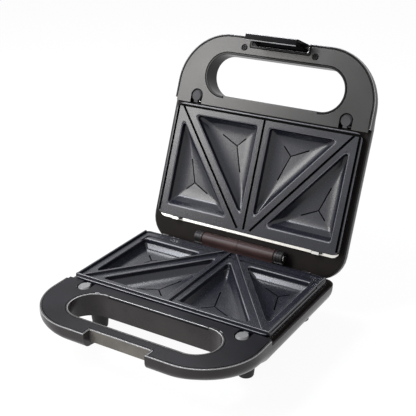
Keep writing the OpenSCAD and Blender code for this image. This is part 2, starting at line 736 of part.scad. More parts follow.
module lid_screws() color("silver") both_sides() translate([lid_screw_x, lid_screw_y, 0]) {
    translate([0, 0, panel_top - 1.2]) cylinder(r = 2.9, h = 1.1);
    translate([0, 0, panel_top - 11]) cylinder(r = screw_r - 0.1, h = 10);
}

// ---------- electrics ----------
module cord_gland() color([0.05, 0.05, 0.05]) translate([cord_x, cord_y, bottom_z]) difference() {
    union() {
        translate([0, 0, -gland_out]) cylinder(r = gland_r + 1, h = gland_out);
        cylinder(r = gland_r, h = wall);
        translate([0, 0, wall]) cylinder(r = gland_r + 0.8, h = gland_in);
    }
    translate([0, 0, -gland_out - 1]) cylinder(r = cord_bore_r, h = gland_out + wall + gland_in + 2);
}

module terminal_block() color([0.85, 0.84, 0.78])
    translate([-block_w / 2, block_y - block_d / 2, bottom_z + wall])
    difference() {
        cube([block_w, block_d, block_h]);
        for (i = [0:2]) {
            translate([block_w * (i + 0.5) / 3, block_d / 2, 3]) cylinder(r = 2, h = block_h);
            translate([block_w * (i + 0.5) / 3, -1, 3]) rotate([-90, 0, 0])
                cylinder(r = 1.4, h = block_d + 2);
        }
    }

module thermostat() color([0.75, 0.75, 0.72]) translate([0, heater_mid_y, tray_z + tray_t]) {
    cylinder(r = 8, h = 6);
    translate([0, 0, 6]) cylinder(r = 5, h = 2);
    for (s = [-1, 1]) translate([s * 9.4 - 2.5, -1.5, 0]) cube([5, 3, 0.8]);
}

module thermal_fuse() color([0.9, 0.88, 0.8]) translate([20, heater_mid_y, tray_z + tray_t + 2.2]) {
    rotate([0, 90, 0]) cylinder(r = 2, h = 12);
    for (x = [1, 10]) translate([x, -2.6, -2.2]) cube([1, 5.2, 1]);
}

// Lead that runs through a list of points.
module lead(points) for (i = [0:len(points) - 1]) {
    p = points[i];
    translate(p) sphere(r = lead_r);
    if (i > 0) {
        v = points[i - 1] - p;
        translate(p) rotate([0, acos(v[2] / norm(v)), atan2(v[1], v[0])]) cylinder(r = lead_r, h = norm(v));
    }
}

// Leads from the ends of the heating tube, under the reflector.
module leads(end_x) color([0.55, 0.1, 0.08]) {
    z = bottom_z + wall + lead_r + 0.3;
    for (s = [-1, 1])
        lead([[heater_leg_x - 4.6, heater_mid_y + s * heater_bend_r, z],
            [end_x + 12 + 5 * s, heater_mid_y + s * heater_bend_r, z],
            [end_x + 12 + 5 * s, block_y + 2.5 * s, z], [end_x + 4, block_y + 2.5 * s, z]]);
}

module neon_lamps() color([0.9, 0.7, 0.5]) both_sides() translate([lens_x, lens_y, bottom_z + wall + 0.4]) {
    cylinder(r = 2.4, h = 7);
    translate([0, 0, 7]) cylinder(r = 1.2, h = 1);
}

module lens(side, tint) color(tint) translate([side * lens_x, lens_y, 0]) {
    translate([0, 0, bottom_z - 0.9]) cylinder(r1 = lens_r - 0.6, r2 = lens_r + 0.8, h = 0.9);
    translate([0, 0, bottom_z]) cylinder(r = lens_r - 0.05, h = wall);
}

// ---------- assembly ----------
in_base() base_shell();
in_base() base_frame();
in_base() base_plate();
in_base() reflector();  // base_reflector
in_base() heater();  // base_heater
in_base() heater_clips();  // base_heater_clips
in_base() plate_hooks();  // base_plate_hooks
in_base() at_button(-1) button();  // base_button_left
in_base() at_button(1) button();  // base_button_right
in_base() at_button(-1) catch_bar();  // base_catch_left
in_base() at_button(1) catch_bar();  // base_catch_right
in_base() at_button(-1) catch_spring();  // base_catch_spring_left
in_base() at_button(1) catch_spring();  // base_catch_spring_right
in_base() base_screws();
in_base() feet(front_foot_y);  // front_feet
in_base() feet(rear_foot_y);  // rear_feet
in_base() foot_screws();
in_base() cord_gland();
in_base() terminal_block();
in_base() leads(block_w / 2);  // base_leads
in_base() thermostat();
in_base() thermal_fuse();
in_base() hinge_barrel();
in_lid() scale_x(-1) hinge_pin();  // hinge_pin_left
in_lid() hinge_pin();  // hinge_pin_right
in_lid() lid_shell();
in_lid() lid_frame();
in_lid() lid_plate();
in_lid() reflector();  // lid_reflector
in_lid() heater();  // lid_heater
in_lid() heater_clips();  // lid_heater_clips
in_lid() plate_hooks();  // lid_plate_hooks
in_lid() at_button(-1) button();  // lid_button_left
in_lid() at_button(1) button();  // lid_button_right
in_lid() at_button(-1) catch_bar();  // lid_catch_left
in_lid() at_button(1) catch_bar();  // lid_catch_right
in_lid() at_button(-1) catch_spring();  // lid_catch_spring_left
in_lid() at_button(1) catch_spring();  // lid_catch_spring_right
in_lid() lid_screws();
in_lid() scale_x(-1) knuckle();  // knuckle_left
in_lid() knuckle();  // knuckle_right
in_lid() leads(lens_x + 6);  // lid_leads
in_lid() neon_lamps();
in_lid() lens(-1, [0.8, 0.05, 0.05, 0.8]);  // power_lens
in_lid() lens(1, [0.05, 0.6, 0.15, 0.8]);  // ready_lens
in_lid() latch();
in_lid() latch_pin();
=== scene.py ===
# %% [markdown]
# # A sandwich toaster with its lid open
#
# The object is a two-slice sandwich toaster: a base and a lid of black plastic, joined by a hinge, each
# holding a cast cooking plate with four triangular pockets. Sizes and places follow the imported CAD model,
# whose plainer outer pieces the new ones replace. Each step below explains one piece or one finish, then
# makes it.

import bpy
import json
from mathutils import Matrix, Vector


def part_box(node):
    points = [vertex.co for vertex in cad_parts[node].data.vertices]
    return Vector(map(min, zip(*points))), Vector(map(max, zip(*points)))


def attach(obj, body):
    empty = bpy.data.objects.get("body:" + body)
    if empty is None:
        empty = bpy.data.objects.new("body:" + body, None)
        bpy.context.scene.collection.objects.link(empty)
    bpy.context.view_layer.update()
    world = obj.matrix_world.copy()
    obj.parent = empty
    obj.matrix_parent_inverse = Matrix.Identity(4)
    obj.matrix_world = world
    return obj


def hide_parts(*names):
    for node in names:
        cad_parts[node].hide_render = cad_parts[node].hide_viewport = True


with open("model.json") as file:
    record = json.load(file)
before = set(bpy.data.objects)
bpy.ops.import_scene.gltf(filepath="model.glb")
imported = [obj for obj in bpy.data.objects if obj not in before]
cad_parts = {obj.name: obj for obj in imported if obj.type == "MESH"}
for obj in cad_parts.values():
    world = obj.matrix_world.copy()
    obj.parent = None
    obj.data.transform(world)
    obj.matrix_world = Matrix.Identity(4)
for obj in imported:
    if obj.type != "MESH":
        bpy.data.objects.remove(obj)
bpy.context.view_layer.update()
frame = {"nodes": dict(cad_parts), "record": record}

# %% Modules
import json
import math
from contextlib import contextmanager

import bmesh
import bpy
from mathutils import Matrix, Quaternion, Vector

MM = 0.001

# %% [markdown]
# ## Where things are
#
# Both halves are the same design, so each is modelled once in its own plain frame: X to the right, Y from
# the hinge axis (the handle is at negative Y), and Z up from the plane where the halves meet. The base only
# moves to its place. The lid is turned upside down and swung open round the hinge axis.

# %% Sizes of the real object, in millimetres
HALF_W, FRONT_Y = 115.5, -222.0
FRONT_R = 57.5
REAR_Y = {"base": -6.0, "lid": 12.8}
REAR_R = {"base": 12.0, "lid": 28.0}
WALL, GAP = 2.2, 0.3
PANEL_TOP, PANEL_BOTTOM = -2.0, -4.4
RING_TOP, RING_BOTTOM = -7.0, -9.4  # the frame round the plate
PLATE_FRONT, PLATE_REAR, PLATE_HALF, PLATE_TOP = -140.8, -15.2, 110.0, -0.7
PANEL_REAR = PLATE_FRONT - 1.6
GRIP_Y, GRIP_R, GRIP_STRAIGHT = -177.5, 22.5, 58.0
NOTCH_HALF, NOTCH_Y = 33.0, -212.5
BUTTON_X, BUTTON_Y = 88.5, -151.0
BASE_SCREW, LID_SCREW = (103.5, -173.5), (41.6, -209.6)

low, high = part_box("hinge_pin_left")
HINGE = (low + high) / 2
OPEN = math.radians(112)
AT_HINGE = Matrix.Translation((0, HINGE.y, HINGE.z))
PLACE = {
    "base": AT_HINGE,
    "lid": AT_HINGE @ Matrix.Rotation(-OPEN, 4, "X") @ Matrix.Scale(-1, 4, (0, 0, 1)),
}
print("hinge axis at", round(HINGE.y, 5), round(HINGE.z, 5))

# %% [markdown]
# ## Camera
#
# A camera is placed with a target, a distance and two angles. The long lens keeps the perspective mild, and
# the small shift moves the object within the picture without turning the camera.

# %% Camera
TARGET = Vector((-93.92, 84.5, -0.7)) * MM + Vector((0, HINGE.y, HINGE.z))
AZIMUTH, ELEVATION, ROLL = math.radians(31.6), math.radians(23.07), math.radians(-0.18)
DISTANCE = 1.05017
SENSOR, LENS = 36, 76.35
SHIFT = (0.00613, -0.01221)

level = math.cos(ELEVATION)
back = Vector((math.sin(AZIMUTH) * level, -math.cos(AZIMUTH) * level, math.sin(ELEVATION)))
camera_data = bpy.data.cameras.new("camera")
camera_data.sensor_width, camera_data.lens = SENSOR, LENS
camera_data.shift_x, camera_data.shift_y = SHIFT
camera = bpy.data.objects.new("camera", camera_data)
bpy.context.scene.collection.objects.link(camera)
camera.location = TARGET + back * DISTANCE
camera.rotation_mode = "QUATERNION"
camera.rotation_quaternion = (-back).to_track_quat("-Z", "Y") @ Quaternion((0, 0, 1), ROLL)
bpy.context.scene.camera = camera
print("camera at", [round(v, 3) for v in camera.location])

# %% [markdown]
# ## Making meshes as by hand
#
# Every piece starts as a primitive and is shaped with the operators that the mouse would use. A primitive is
# added at its place, which then goes into its mesh, so the object itself sits at the origin.

# %% Primitives
def only(piece):
    """Selects one object and makes it active."""
    bpy.ops.object.select_all(action="DESELECT")
    piece.select_set(True)
    bpy.context.view_layer.objects.active = piece


def started(name):
    """Names the primitive that was just added and puts its place into its mesh."""
    piece = bpy.context.object
    piece.name = name
    only(piece)
    bpy.ops.object.transform_apply(location=True, rotation=True, scale=True)
    return piece


def block(name, low, high):
    """A box between two corners, in millimetres."""
    low, high = Vector(low) * MM, Vector(high) * MM
    bpy.ops.mesh.primitive_cube_add(size=1, location=(low + high) / 2, scale=high - low)
    return started(name)


def drum(name, centre, radius, depth, axis="Z", sides=48):
    """A cylinder round its centre, in millimetres."""
    turn = {"X": (0, math.pi / 2, 0), "Y": (math.pi / 2, 0, 0), "Z": (0, 0, 0)}[axis]
    bpy.ops.mesh.primitive_cylinder_add(
        vertices=sides, radius=radius * MM, depth=depth * MM, location=Vector(centre) * MM, rotation=turn
    )
    return started(name)


print("primitives: box and cylinder, in millimetres")

# %% [markdown]
# An operator acts on whatever is selected, so these helpers first deselect everything, and then pick faces,
# edges or vertices by where they are or which way they point.

# %% Picking and bevelling
@contextmanager
def editing(piece):
    """Edit mode on one piece, with everything selected at first."""
    only(piece)
    bpy.ops.object.mode_set(mode="EDIT")
    bpy.ops.mesh.select_all(action="SELECT")
    yield
    bpy.ops.object.mode_set(mode="OBJECT")


def pick(piece, kind, wanted):
    """In edit mode, selects the vertices, edges or faces that pass a test."""
    bpy.ops.mesh.select_mode(type=kind)
    bpy.ops.mesh.select_all(action="DESELECT")
    mesh = bmesh.from_edit_mesh(piece.data)
    for item in {"VERT": mesh.verts, "EDGE": mesh.edges, "FACE": mesh.faces}[kind]:
        if wanted(item):
            item.select_set(True)
    mesh.select_flush_mode()
    bmesh.update_edit_mesh(piece.data)


def facing(direction, share=0.99):
    """A test for faces whose normal points along a direction."""
    direction = Vector(direction)
    return lambda face: face.normal.dot(direction) > share


def along(direction, where=lambda point: True):
    """A test for edges that run along a direction, with their middle where it should be."""
    direction = Vector(direction)

    def wanted(edge):
        a, b = (v.co for v in edge.verts)
        return (b - a).length > 1e-9 and abs((b - a).normalized().dot(direction)) > 0.999 and where((a + b) / 2 / MM)

    return wanted


def round_edges(piece, wanted, radius, segments=4):
    """Bevels the picked edges to a radius in millimetres."""
    with editing(piece):
        pick(piece, "EDGE", wanted)
        bpy.ops.mesh.bevel(offset=radius * MM, segments=segments, profile=0.5, affect="EDGES")
    return piece


print("faces, edges and vertices can be picked")

# %% [markdown]
# Modifiers do what the edit operators can't. A Boolean cuts one closed shape out of another or joins the
# two, and it is applied at once, so each piece ends as a plain mesh.

# %% Modifiers and copies
def finish_with(piece, kind, **settings):
    """Adds a modifier and applies it."""
    only(piece)
    modifier = piece.modifiers.new(kind.lower(), kind)
    for key, value in settings.items():
        setattr(modifier, key, value)
    bpy.ops.object.modifier_apply(modifier=modifier.name)
    return piece


def combine(piece, tool, operation):
    """Cuts a tool out of a piece, joins it on, or keeps what both share; the tool is used up."""
    finish_with(piece, "BOOLEAN", object=tool, operation=operation, solver="EXACT")
    bpy.data.objects.remove(tool)
    return piece


def cut(piece, *tools):
    """Takes each tool out of a piece."""
    for tool in tools:
        combine(piece, tool, "DIFFERENCE")
    return piece


def add(piece, *tools):
    """Joins each tool on to a piece."""
    for tool in tools:
        combine(piece, tool, "UNION")
    return piece


def copy_of(piece, name):
    """A copy with its own mesh."""
    only(piece)
    bpy.ops.object.duplicate()
    made = bpy.context.object
    made.name = name
    return made


def mirrored(piece, name):
    """A copy on the other side of the middle plane."""
    made = copy_of(piece, name)
    made.matrix_world = Matrix.Scale(-1, 4, (1, 0, 0))
    bpy.ops.object.transform_apply(location=True, rotation=True, scale=True)
    return face_outward(made)


def face_outward(piece):
    """Merges doubles and turns every face outwards."""
    with editing(piece):
        bpy.ops.mesh.remove_doubles(threshold=1e-6)
        bpy.ops.mesh.select_all(action="SELECT")
        bpy.ops.mesh.normals_make_consistent(inside=False)
    return piece


def joined(name, *pieces):
    """Several closed shapes as one object."""
    only(pieces[0])
    for piece in pieces[1:]:
        piece.select_set(True)
    bpy.ops.object.join()
    pieces[0].name = name
    return pieces[0]


print("pieces can be cut, joined, copied and mirrored")

# %% [markdown]
# A piece is modelled in the plain frame of its half. Settling it moves it to where that half stands, smooths
# its shading, gives it its finish, and says which moving body it rides on and which CAD node it replaces.

# %% Settling a piece
SMOOTH_ANGLE = math.radians(35)


def settle(piece, half, body, replaced, finish):
    """Stands a piece where its half is, gives it its finish, and makes it ride on a body in place of a CAD node."""
    only(piece)
    piece.matrix_world = PLACE[half]
    bpy.ops.object.transform_apply(location=True, rotation=True, scale=True)
    face_outward(piece)
    only(piece)
    bpy.ops.object.shade_smooth_by_angle(angle=SMOOTH_ANGLE)
    finish_with(piece, "WEIGHTED_NORMAL", keep_sharp=True)
    if not piece.data.materials:
        piece.data.materials.append(None)
    piece.data.materials[0] = finish
    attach(piece, body)
    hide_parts(replaced)
    print(piece.name, len(piece.data.polygons), "faces")


print("settling shades smooth up to", round(math.degrees(SMOOTH_ANGLE)), "degrees")

# %% [markdown]
# ## Finishes
#
# Every surface gets a procedural material. Moulded plastic is never perfectly even: its gloss wanders a
# little and it has a fine grain from the mould. A small class wraps a node's output, so that shader maths
# reads like arithmetic, and one method makes every other node.

# %% Shader maths
class Wire:
    """One output of a node; arithmetic on it adds Math nodes."""

    def __init__(self, paint, socket):
        self.paint, self.socket = paint, socket

    def maths(self, operation, a, b):
        return self.paint.node("ShaderNodeMath", {"operation": operation}, {0: a, 1: b})

    def __add__(self, other):
        return self.maths("ADD", self, other)

    def __radd__(self, other):
        return self.maths("ADD", other, self)

    def __sub__(self, other):
        return self.maths("SUBTRACT", self, other)

    def __rsub__(self, other):
        return self.maths("SUBTRACT", other, self)

    def __mul__(self, other):
        return self.maths("MULTIPLY", self, other)

    def __rmul__(self, other):
        return self.maths("MULTIPLY", other, self)


class Paint:
    """A material while its nodes are made."""

    def __init__(self, name):
        self.material = bpy.data.materials.new(name)
        self.material.use_nodes = True
        self.tree = self.material.node_tree
        self.shader = self.tree.nodes["Principled BSDF"]
        self.place = self.node("ShaderNodeTexCoord", out="Object")

    def node(self, kind, settings=None, sockets=None, out=0):
        """Makes a node, sets it up, then fills its sockets with values or links."""
        made = self.tree.nodes.new(kind)
        for key, value in (settings or {}).items():
            if key == "stops":
                for stop, (position, shade) in enumerate(value):
                    elements = made.color_ramp.elements
                    element = elements[stop] if stop < len(elements) else elements.new(position)
                    element.position, element.color = position, (shade, shade, shade, 1)
            else:
                setattr(made, key, value)
        for key, value in (sockets or {}).items():
            self.plug(made.inputs[key], value)
        return Wire(self, made.outputs[out])

    def plug(self, socket, value):
        """Links a socket, or sets its value."""
        if isinstance(value, Wire):
            self.tree.links.new(value.socket, socket)
        else:
            socket.default_value = value

    def noise(self, size, detail=2.0):
        """Soft noise whose blotches are about a size in millimetres."""
        sockets = {"Vector": self.place, "Scale": 1 / (size * MM), "Detail": detail}
        return self.node("ShaderNodeTexNoise", None, sockets)

    def cells(self, size):
        """Distance to the nearest of many scattered points, a size in millimetres apart."""
        return self.node("ShaderNodeTexVoronoi", None, {"Vector": self.place, "Scale": 1 / (size * MM)})

    def ramp(self, value, *stops):
        """A value spread between stops, each a position and a shade."""
        return self.node("ShaderNodeValToRGB", {"stops": stops}, {"Fac": value})

    def mixed(self, factor, a, b):
        """A colour between two colours."""
        a, b = ((*c, 1) if isinstance(c, tuple) else c for c in (a, b))
        return self.node("ShaderNodeMix", {"data_type": "RGBA"}, {0: factor, 6: a, 7: b}, 2)

    def bumped(self, height, depth):
        """Relief that a height of 1 raises by a depth in millimetres."""
        return self.node("ShaderNodeBump", None, {"Height": height, "Distance": depth * MM, "Strength": 1.0})

    def set(self, **sockets):
        """Fills sockets of the shader; underscores stand for spaces."""
        for key, value in sockets.items():
            self.plug(self.shader.inputs[key.replace("_", " ")], value)
        return self.material


print("shader helpers ready")

# %% [markdown]
# ## Moulded plastic
#
# Housings, panels, buttons, hinge and latch are all injection-moulded, and differ in colour, gloss and
# grain. One recipe makes them all: two close tones in slow blotches, a roughness that wanders, and a fine
# grain as bump. The base and the lid share one plastic for housing, panel and buttons, and each of these
# has a copy per half that differs by painted light and shade. Edges and grooves get finishes of their own:
# an edge is painted paler and glossier as a painted highlight, and the inside of a groove is painted nearly
# black as painted shade.

# %% Plastic
def plastic(name, dark, light, rough, grain, depth, spread=0.05, specular=0.5):
    """Moulded plastic; the grain's size and depth are in millimetres."""
    paint = Paint(name)
    drift = paint.noise(38, 3)
    fine = paint.noise(grain, 2)
    tone = paint.mixed(paint.ramp(drift * 0.75 + fine * 0.25, (0.38, 0), (0.62, 1)), dark, light)
    gloss = rough - spread + drift * (2 * spread) + (fine - 0.5) * spread
    return paint.set(
        Base_Color=tone, Roughness=gloss, Normal=paint.bumped(fine, depth), Specular_IOR_Level=specular
    )


PLASTICS = {
    # Painted shade: the lid's housing is painted darker and less glossy than the base's, though both are one plastic.
    "base_housing": plastic(
        "base_housing_plastic", (0.0225, 0.0187, 0.0187), (0.0375, 0.0319, 0.0319), 0.28, 0.55, 0.010, specular=0.31
    ),
    "lid_housing": plastic(
        "lid_housing_plastic", (0.01, 0.0088, 0.0088), (0.0175, 0.015, 0.015), 0.27, 0.55, 0.010, specular=0.13
    ),
    # Painted light and shade: the lid's panel is painted paler and glossier than the base's, though both are one
    # plastic.
    "base_panel": plastic(
        "base_panel_plastic", (0.0088, 0.0088, 0.0112), (0.015, 0.015, 0.0187), 0.30, 0.5, 0.016, specular=0.08
    ),
    "lid_panel": plastic(
        "lid_panel_plastic", (0.0125, 0.0119, 0.0112), (0.02, 0.0187, 0.0181), 0.30, 0.5, 0.014, specular=0.44
    ),
    # Painted shade: the frame is duller than the panel it is moulded with, and on the lid darker too, for the gap round
    # the plate.
    "frame": plastic(
        "painted_shade_frame", (0.01, 0.0081, 0.0075), (0.0163, 0.0125, 0.0119), 0.42, 0.5, 0.02, specular=0.07
    ),
    # Painted highlight: bevelled edges are painted pale grey and fully glossy so that they read as lit lines.
    "edge": plastic(
        "painted_highlight_edge", (0.25, 0.25, 0.256), (0.4, 0.4, 0.406), 0.26, 0.5, 0.004, specular=1.0
    ),
    # Painted highlight: the coating's rounded edges and pocket rims are painted paler and glossier.
    "plate_edge": plastic(
        "painted_highlight_coating", (0.0875, 0.0875, 0.103), (0.188, 0.188, 0.206), 0.28, 0.8, 0.01, specular=0.59
    ),
    # Painted shade: the inside of the seal grooves and of the engraved marks is painted nearly black.
    "shade": plastic(
        "painted_shade_groove", (0.0031, 0.0031, 0.0037), (0.005, 0.005, 0.0056), 0.6, 0.5, 0.01, specular=0.03
    ),
    # Painted light: the face at the back of the base's notch is painted pale taupe as where light falls on it.
    "notch": plastic(
        "painted_light_notch_face", (0.106, 0.0975, 0.085), (0.181, 0.168, 0.146), 0.45, 0.5, 0.03, 0.08, 0.3
    ),
    "hinge": plastic(
        "hinge_plastic", (0.0338, 0.0175, 0.0169), (0.06, 0.0338, 0.0325), 0.38, 0.5, 0.010, specular=0.23
    ),
    "knuckle": plastic(
        "knuckle_plastic", (0.0175, 0.0163, 0.0175), (0.0325, 0.03, 0.0312), 0.34, 0.5, 0.010, specular=0.2
    ),
    "latch": plastic(
        "latch_plastic", (0.0037, 0.0037, 0.0044), (0.0075, 0.0075, 0.0088), 0.2, 0.7, 0.004, 0.03, 0.03
    ),
    # Painted highlight: the base's buttons are painted much paler than the lid's, though both are the same button.
    "button": plastic("button_plastic", (0.15, 0.15, 0.15), (0.25, 0.25, 0.25), 0.42, 0.7, 0.07),
    "lid_button": plastic(
        "lid_button_plastic", (0.02, 0.02, 0.0225), (0.075, 0.075, 0.08), 0.45, 0.7, 0.07, specular=0.21
    ),
    "block": plastic("block_plastic", (0.52, 0.48, 0.36), (0.62, 0.58, 0.46), 0.45, 0.6, 0.012),
    "rubber": plastic(
        "foot_rubber", (0.015, 0.015, 0.015), (0.0275, 0.0275, 0.0263), 0.62, 0.45, 0.03, 0.08, 0.35
    ),
    "wire": plastic("wire_insulation", (0.30, 0.022, 0.015), (0.42, 0.035, 0.025), 0.42, 0.6, 0.01),
    "ceramic": plastic("ceramic_body", (0.58, 0.56, 0.48), (0.72, 0.70, 0.62), 0.38, 0.5, 0.015),
}
print(len(PLASTICS), "plastics")

# %% [markdown]
# ## Non-stick coating
#
# The cast plates are sprayed with a dark coating that is baked on. It pools into a faint orange peel, and a
# few pale specks show in it. It is glossier than the plastic round it, with a cold blue-black tone.

# %% Non-stick coating
def non_stick():
    paint = Paint("non_stick_coating")
    drift = paint.noise(24, 3)
    peel = paint.noise(1.5, 2)
    specks = paint.ramp(paint.cells(1.7), (0.10, 1), (0.20, 0))
    ground = paint.mixed(drift, (0.0075, 0.0085, 0.0137), (0.015, 0.0163, 0.0263))
    return paint.set(
        Base_Color=paint.mixed(specks * 0.4, ground, (0.112, 0.112, 0.125)),
        Roughness=0.22 + drift * 0.08 + specks * 0.08,
        Normal=paint.bumped(peel + specks * 0.25, 0.035),
        Specular_IOR_Level=0.48,
    )


COATING = non_stick()
print("coating:", COATING.name)

# %% [markdown]
# ## Metals
#
# Rolled sheet keeps long fine lines from the rolls, so its noise is stretched along X. Zinc plating is
# brighter and only slightly cloudy. A heating tube has been hot: its colour drifts from straw to grey.

# %% Metals
def metal(name, dark, light, rough, stretch=(1, 1, 1)):
    """Metal with fine scratches, drawn out along the axis whose stretch is small."""
    spread, scratch = 0.08, 0.004
    paint = Paint(name)
    drift = paint.noise(9, 3)
    paint.place = paint.node("ShaderNodeMapping", None, {"Vector": paint.place, "Scale": stretch})
    lines = paint.noise(0.6, 3)
    return paint.set(
        Base_Color=paint.mixed(drift, dark, light),
        Metallic=1.0,
        Roughness=rough - spread + (drift + lines) * spread,
        Normal=paint.bumped(lines, scratch),
    )


METALS = {
    "reflector": metal("rolled_aluminium", (0.64, 0.62, 0.58), (0.80, 0.78, 0.74), 0.24, (0.03, 1, 1)),
    "heating_tube": metal("heated_tube", (0.22, 0.18, 0.13), (0.34, 0.33, 0.34), 0.42),
    "bright_steel": metal("zinc_steel", (0.58, 0.57, 0.54), (0.74, 0.74, 0.73), 0.22),
    "black_steel": metal("blackened_steel", (0.006, 0.006, 0.0065), (0.015, 0.015, 0.016), 0.35),
    "catch": metal("stamped_steel", (0.42, 0.42, 0.43), (0.56, 0.56, 0.57), 0.34, (1, 0.06, 1)),
}
print(len(METALS), "metals")

# %% [markdown]
# ## Clear pieces
#
# The two lenses are coloured clear plastic, faintly cloudy with a moulded grain, and the neon lamps behind
# them are thin glass. A little of each one's own colour stays opaque, so it reads as a solid lens.

# %% Lenses and lamps
def clear(name, dark, light, rough, see_through):
    """Clear plastic or glass; see_through is the share of light that passes."""
    paint = Paint(name)
    cloud = paint.noise(1.8, 3)
    return paint.set(
        Base_Color=paint.mixed(cloud, dark, light),
        Roughness=rough + cloud * 0.06,
        Normal=paint.bumped(paint.noise(0.8), 0.01),
        Transmission_Weight=see_through,
        IOR=1.49,
    )


CLEAR = {
    "red_lens": clear("red_lens", (0.42, 0.012, 0.010), (0.62, 0.03, 0.02), 0.08, 0.35),
    "green_lens": clear("green_lens", (0.012, 0.26, 0.06), (0.03, 0.40, 0.11), 0.08, 0.35),
    "lamp": clear("neon_glass", (0.80, 0.52, 0.34), (0.90, 0.66, 0.46), 0.04, 0.7),
}
print(len(CLEAR), "clear finishes")

# %% [markdown]
# ## Tools for cutting
#
# The grip opening and the latch's notch are cut from several pieces, each time a little larger for the next
# piece out, so they are made by functions that take how much to grow.

# %% Openings
TOOL_LOW, TOOL_HIGH = -40.0, 10.0
NOTCH_CORNER = 1.6


def grip_tool(grow):
    """The grip opening, a long slot with round ends."""
    r = GRIP_R + grow
    tool = block("grip", (-GRIP_STRAIGHT - r, GRIP_Y - r, TOOL_LOW), (GRIP_STRAIGHT + r, GRIP_Y + r, TOOL_HIGH))
    round_edges(tool, along((0, 0, 1)), r * 0.9995, 20)
    return tool


def notch_tool(grow):
    """The latch's notch in the front of the handle."""
    x = NOTCH_HALF + grow
    tool = block("notch", (-x, FRONT_Y - 5, TOOL_LOW), (x, NOTCH_Y + grow, TOOL_HIGH))
    round_edges(tool, along((0, 0, 1), lambda p: p.y > FRONT_Y), NOTCH_CORNER, 4)
    return tool


print("grip", 2 * (GRIP_STRAIGHT + GRIP_R), "by", 2 * GRIP_R, "mm, notch", 2 * NOTCH_HALF, "mm wide")

# %% [markdown]
# ## Housings
#
# A housing is a deep tub whose sides curve under in a large radius, with a shallow handle in front. It is
# made from a box: the upright corners are bevelled, then the bottom face is extruded down in small steps,
# and each step is scaled in, which draws the curve of the sides. The handle's depth comes last, by scaling
# heights towards the rim, row by row and more towards the front. The hollow is scaled a little more, which
# keeps the wall thick enough round the corners. Faces that the scaling leaves uneven become triangles before
# anything is cut.

# %% A tub
SIDE_CURVE, FRONT_CURVE, REAR_CURVE = 20.0, 9.0, 3.5  # how far each side curves in
FRONT_RISE = 1.7 * FRONT_CURVE  # the height over which the front curves in
DEPTH = 30.0
HOLLOW_SHARE = 0.92
HANDLE_DEPTHS = ((FRONT_Y, 18.0), (-213.0, 18.0), (-157.0, 26.0), (-146.0, DEPTH))  # depth at each y


def quarter(start, radius, reach, z):
    """How far a quarter-round edge that starts at a height has turned in, at height z."""
    t = min(max((start - z) / radius, 0.0), 1.0)
    return reach * (1 - math.sqrt(max(1 - t * t, 0.0)))


def handle_share(y):
    """Share of the depth below the rim that is left at y."""
    for (y0, d0), (y1, d1) in zip(HANDLE_DEPTHS, HANDLE_DEPTHS[1:]):
        if y <= y1:
            depth = d0 + (d1 - d0) * max(y - y0, 0) / (y1 - y0)
            return (depth + PANEL_TOP) / (DEPTH + PANEL_TOP)
    return 1.0


def tub(name, half, inset, top, steps=9):
    """A half's outer form moved inwards by an inset, closed at its top."""
    w, front, rear = HALF_W - inset, FRONT_Y + inset, REAR_Y[half] - inset
    side, bottom = SIDE_CURVE - inset, -DEPTH + inset
    start = bottom + side
    piece = block(name, (-w, front, start), (w, rear, top))
    round_edges(piece, along((0, 0, 1), lambda p: p.y < PLATE_FRONT), FRONT_R - inset, 20)
    round_edges(piece, along((0, 0, 1), lambda p: p.y > PLATE_FRONT), REAR_R[half] - inset, 8)

    with editing(piece):
        pick(piece, "FACE", facing((0, 0, -1)))
        x, y0, y1, z = w, front, rear, start
        for step in range(1, steps + 1):
            turn = math.radians(90 * step / steps)
            lower = start - side * math.sin(turn)
            new_x = w - quarter(start, side, side, lower)
            new_y0 = front + quarter(bottom + FRONT_RISE, FRONT_RISE, FRONT_CURVE, lower)
            new_y1 = rear - quarter(bottom + REAR_CURVE, REAR_CURVE, REAR_CURVE, lower)
            shift = (new_y0 + new_y1 - y0 - y1) / 2 * MM
            bpy.ops.mesh.extrude_region_move(TRANSFORM_OT_translate={"value": (0, shift, (lower - z) * MM)})
            bpy.ops.transform.resize(
                value=(new_x / x, (new_y1 - new_y0) / (y1 - y0), 1),
                center_override=(0, (new_y0 + new_y1) / 2 * MM, lower * MM),
            )
            x, y0, y1, z = new_x, new_y0, new_y1, lower
        for y, _ in HANDLE_DEPTHS[1:]:
            bpy.ops.mesh.select_all(action="SELECT")
            bpy.ops.mesh.bisect(plane_co=(0, y * MM, 0), plane_no=(0, 1, 0))
        rows = sorted({round(v.co.y / MM, 2) for v in bmesh.from_edit_mesh(piece.data).verts})
        for y in (row for row in rows if handle_share(row) < 1):
            pick(piece, "VERT", lambda v: round(v.co.y / MM, 2) == y)
            share = handle_share(y) * (HOLLOW_SHARE if inset else 1)
            bpy.ops.transform.resize(value=(1, 1, share), center_override=(0, 0, PANEL_TOP * MM))
        pick(piece, "FACE", lambda face: abs(face.normal.z) > 0.02 and face.normal.z < 0.99)
        bpy.ops.mesh.quads_convert_to_tris()
    return piece


print("share of the depth left at the front:", round(handle_share(FRONT_Y), 3))

# %% [markdown]
# The bevelled edges are painted paler as a painted highlight, and the face of the notch is painted a pale
# taupe as if lit, so those faces get a second and a third material that differ from the rest of a housing.
# They are found by where they are and which way they point.

# %% Faces with a finish of their own
RIM_BEVEL = 0.6


def repaint(piece, finish, wanted):
    """Gives the faces that pass a test a finish of their own; the piece's main finish stays in the first slot."""
    for other in (finish,) if piece.data.materials else (None, finish):
        piece.data.materials.append(other)
    for face in piece.data.polygons:
        if wanted(face):
            face.material_index = len(piece.data.materials) - 1


def leaning(face):
    """True for the narrow faces of a bevel, which face no main direction."""
    return max(map(abs, face.normal)) < 0.97


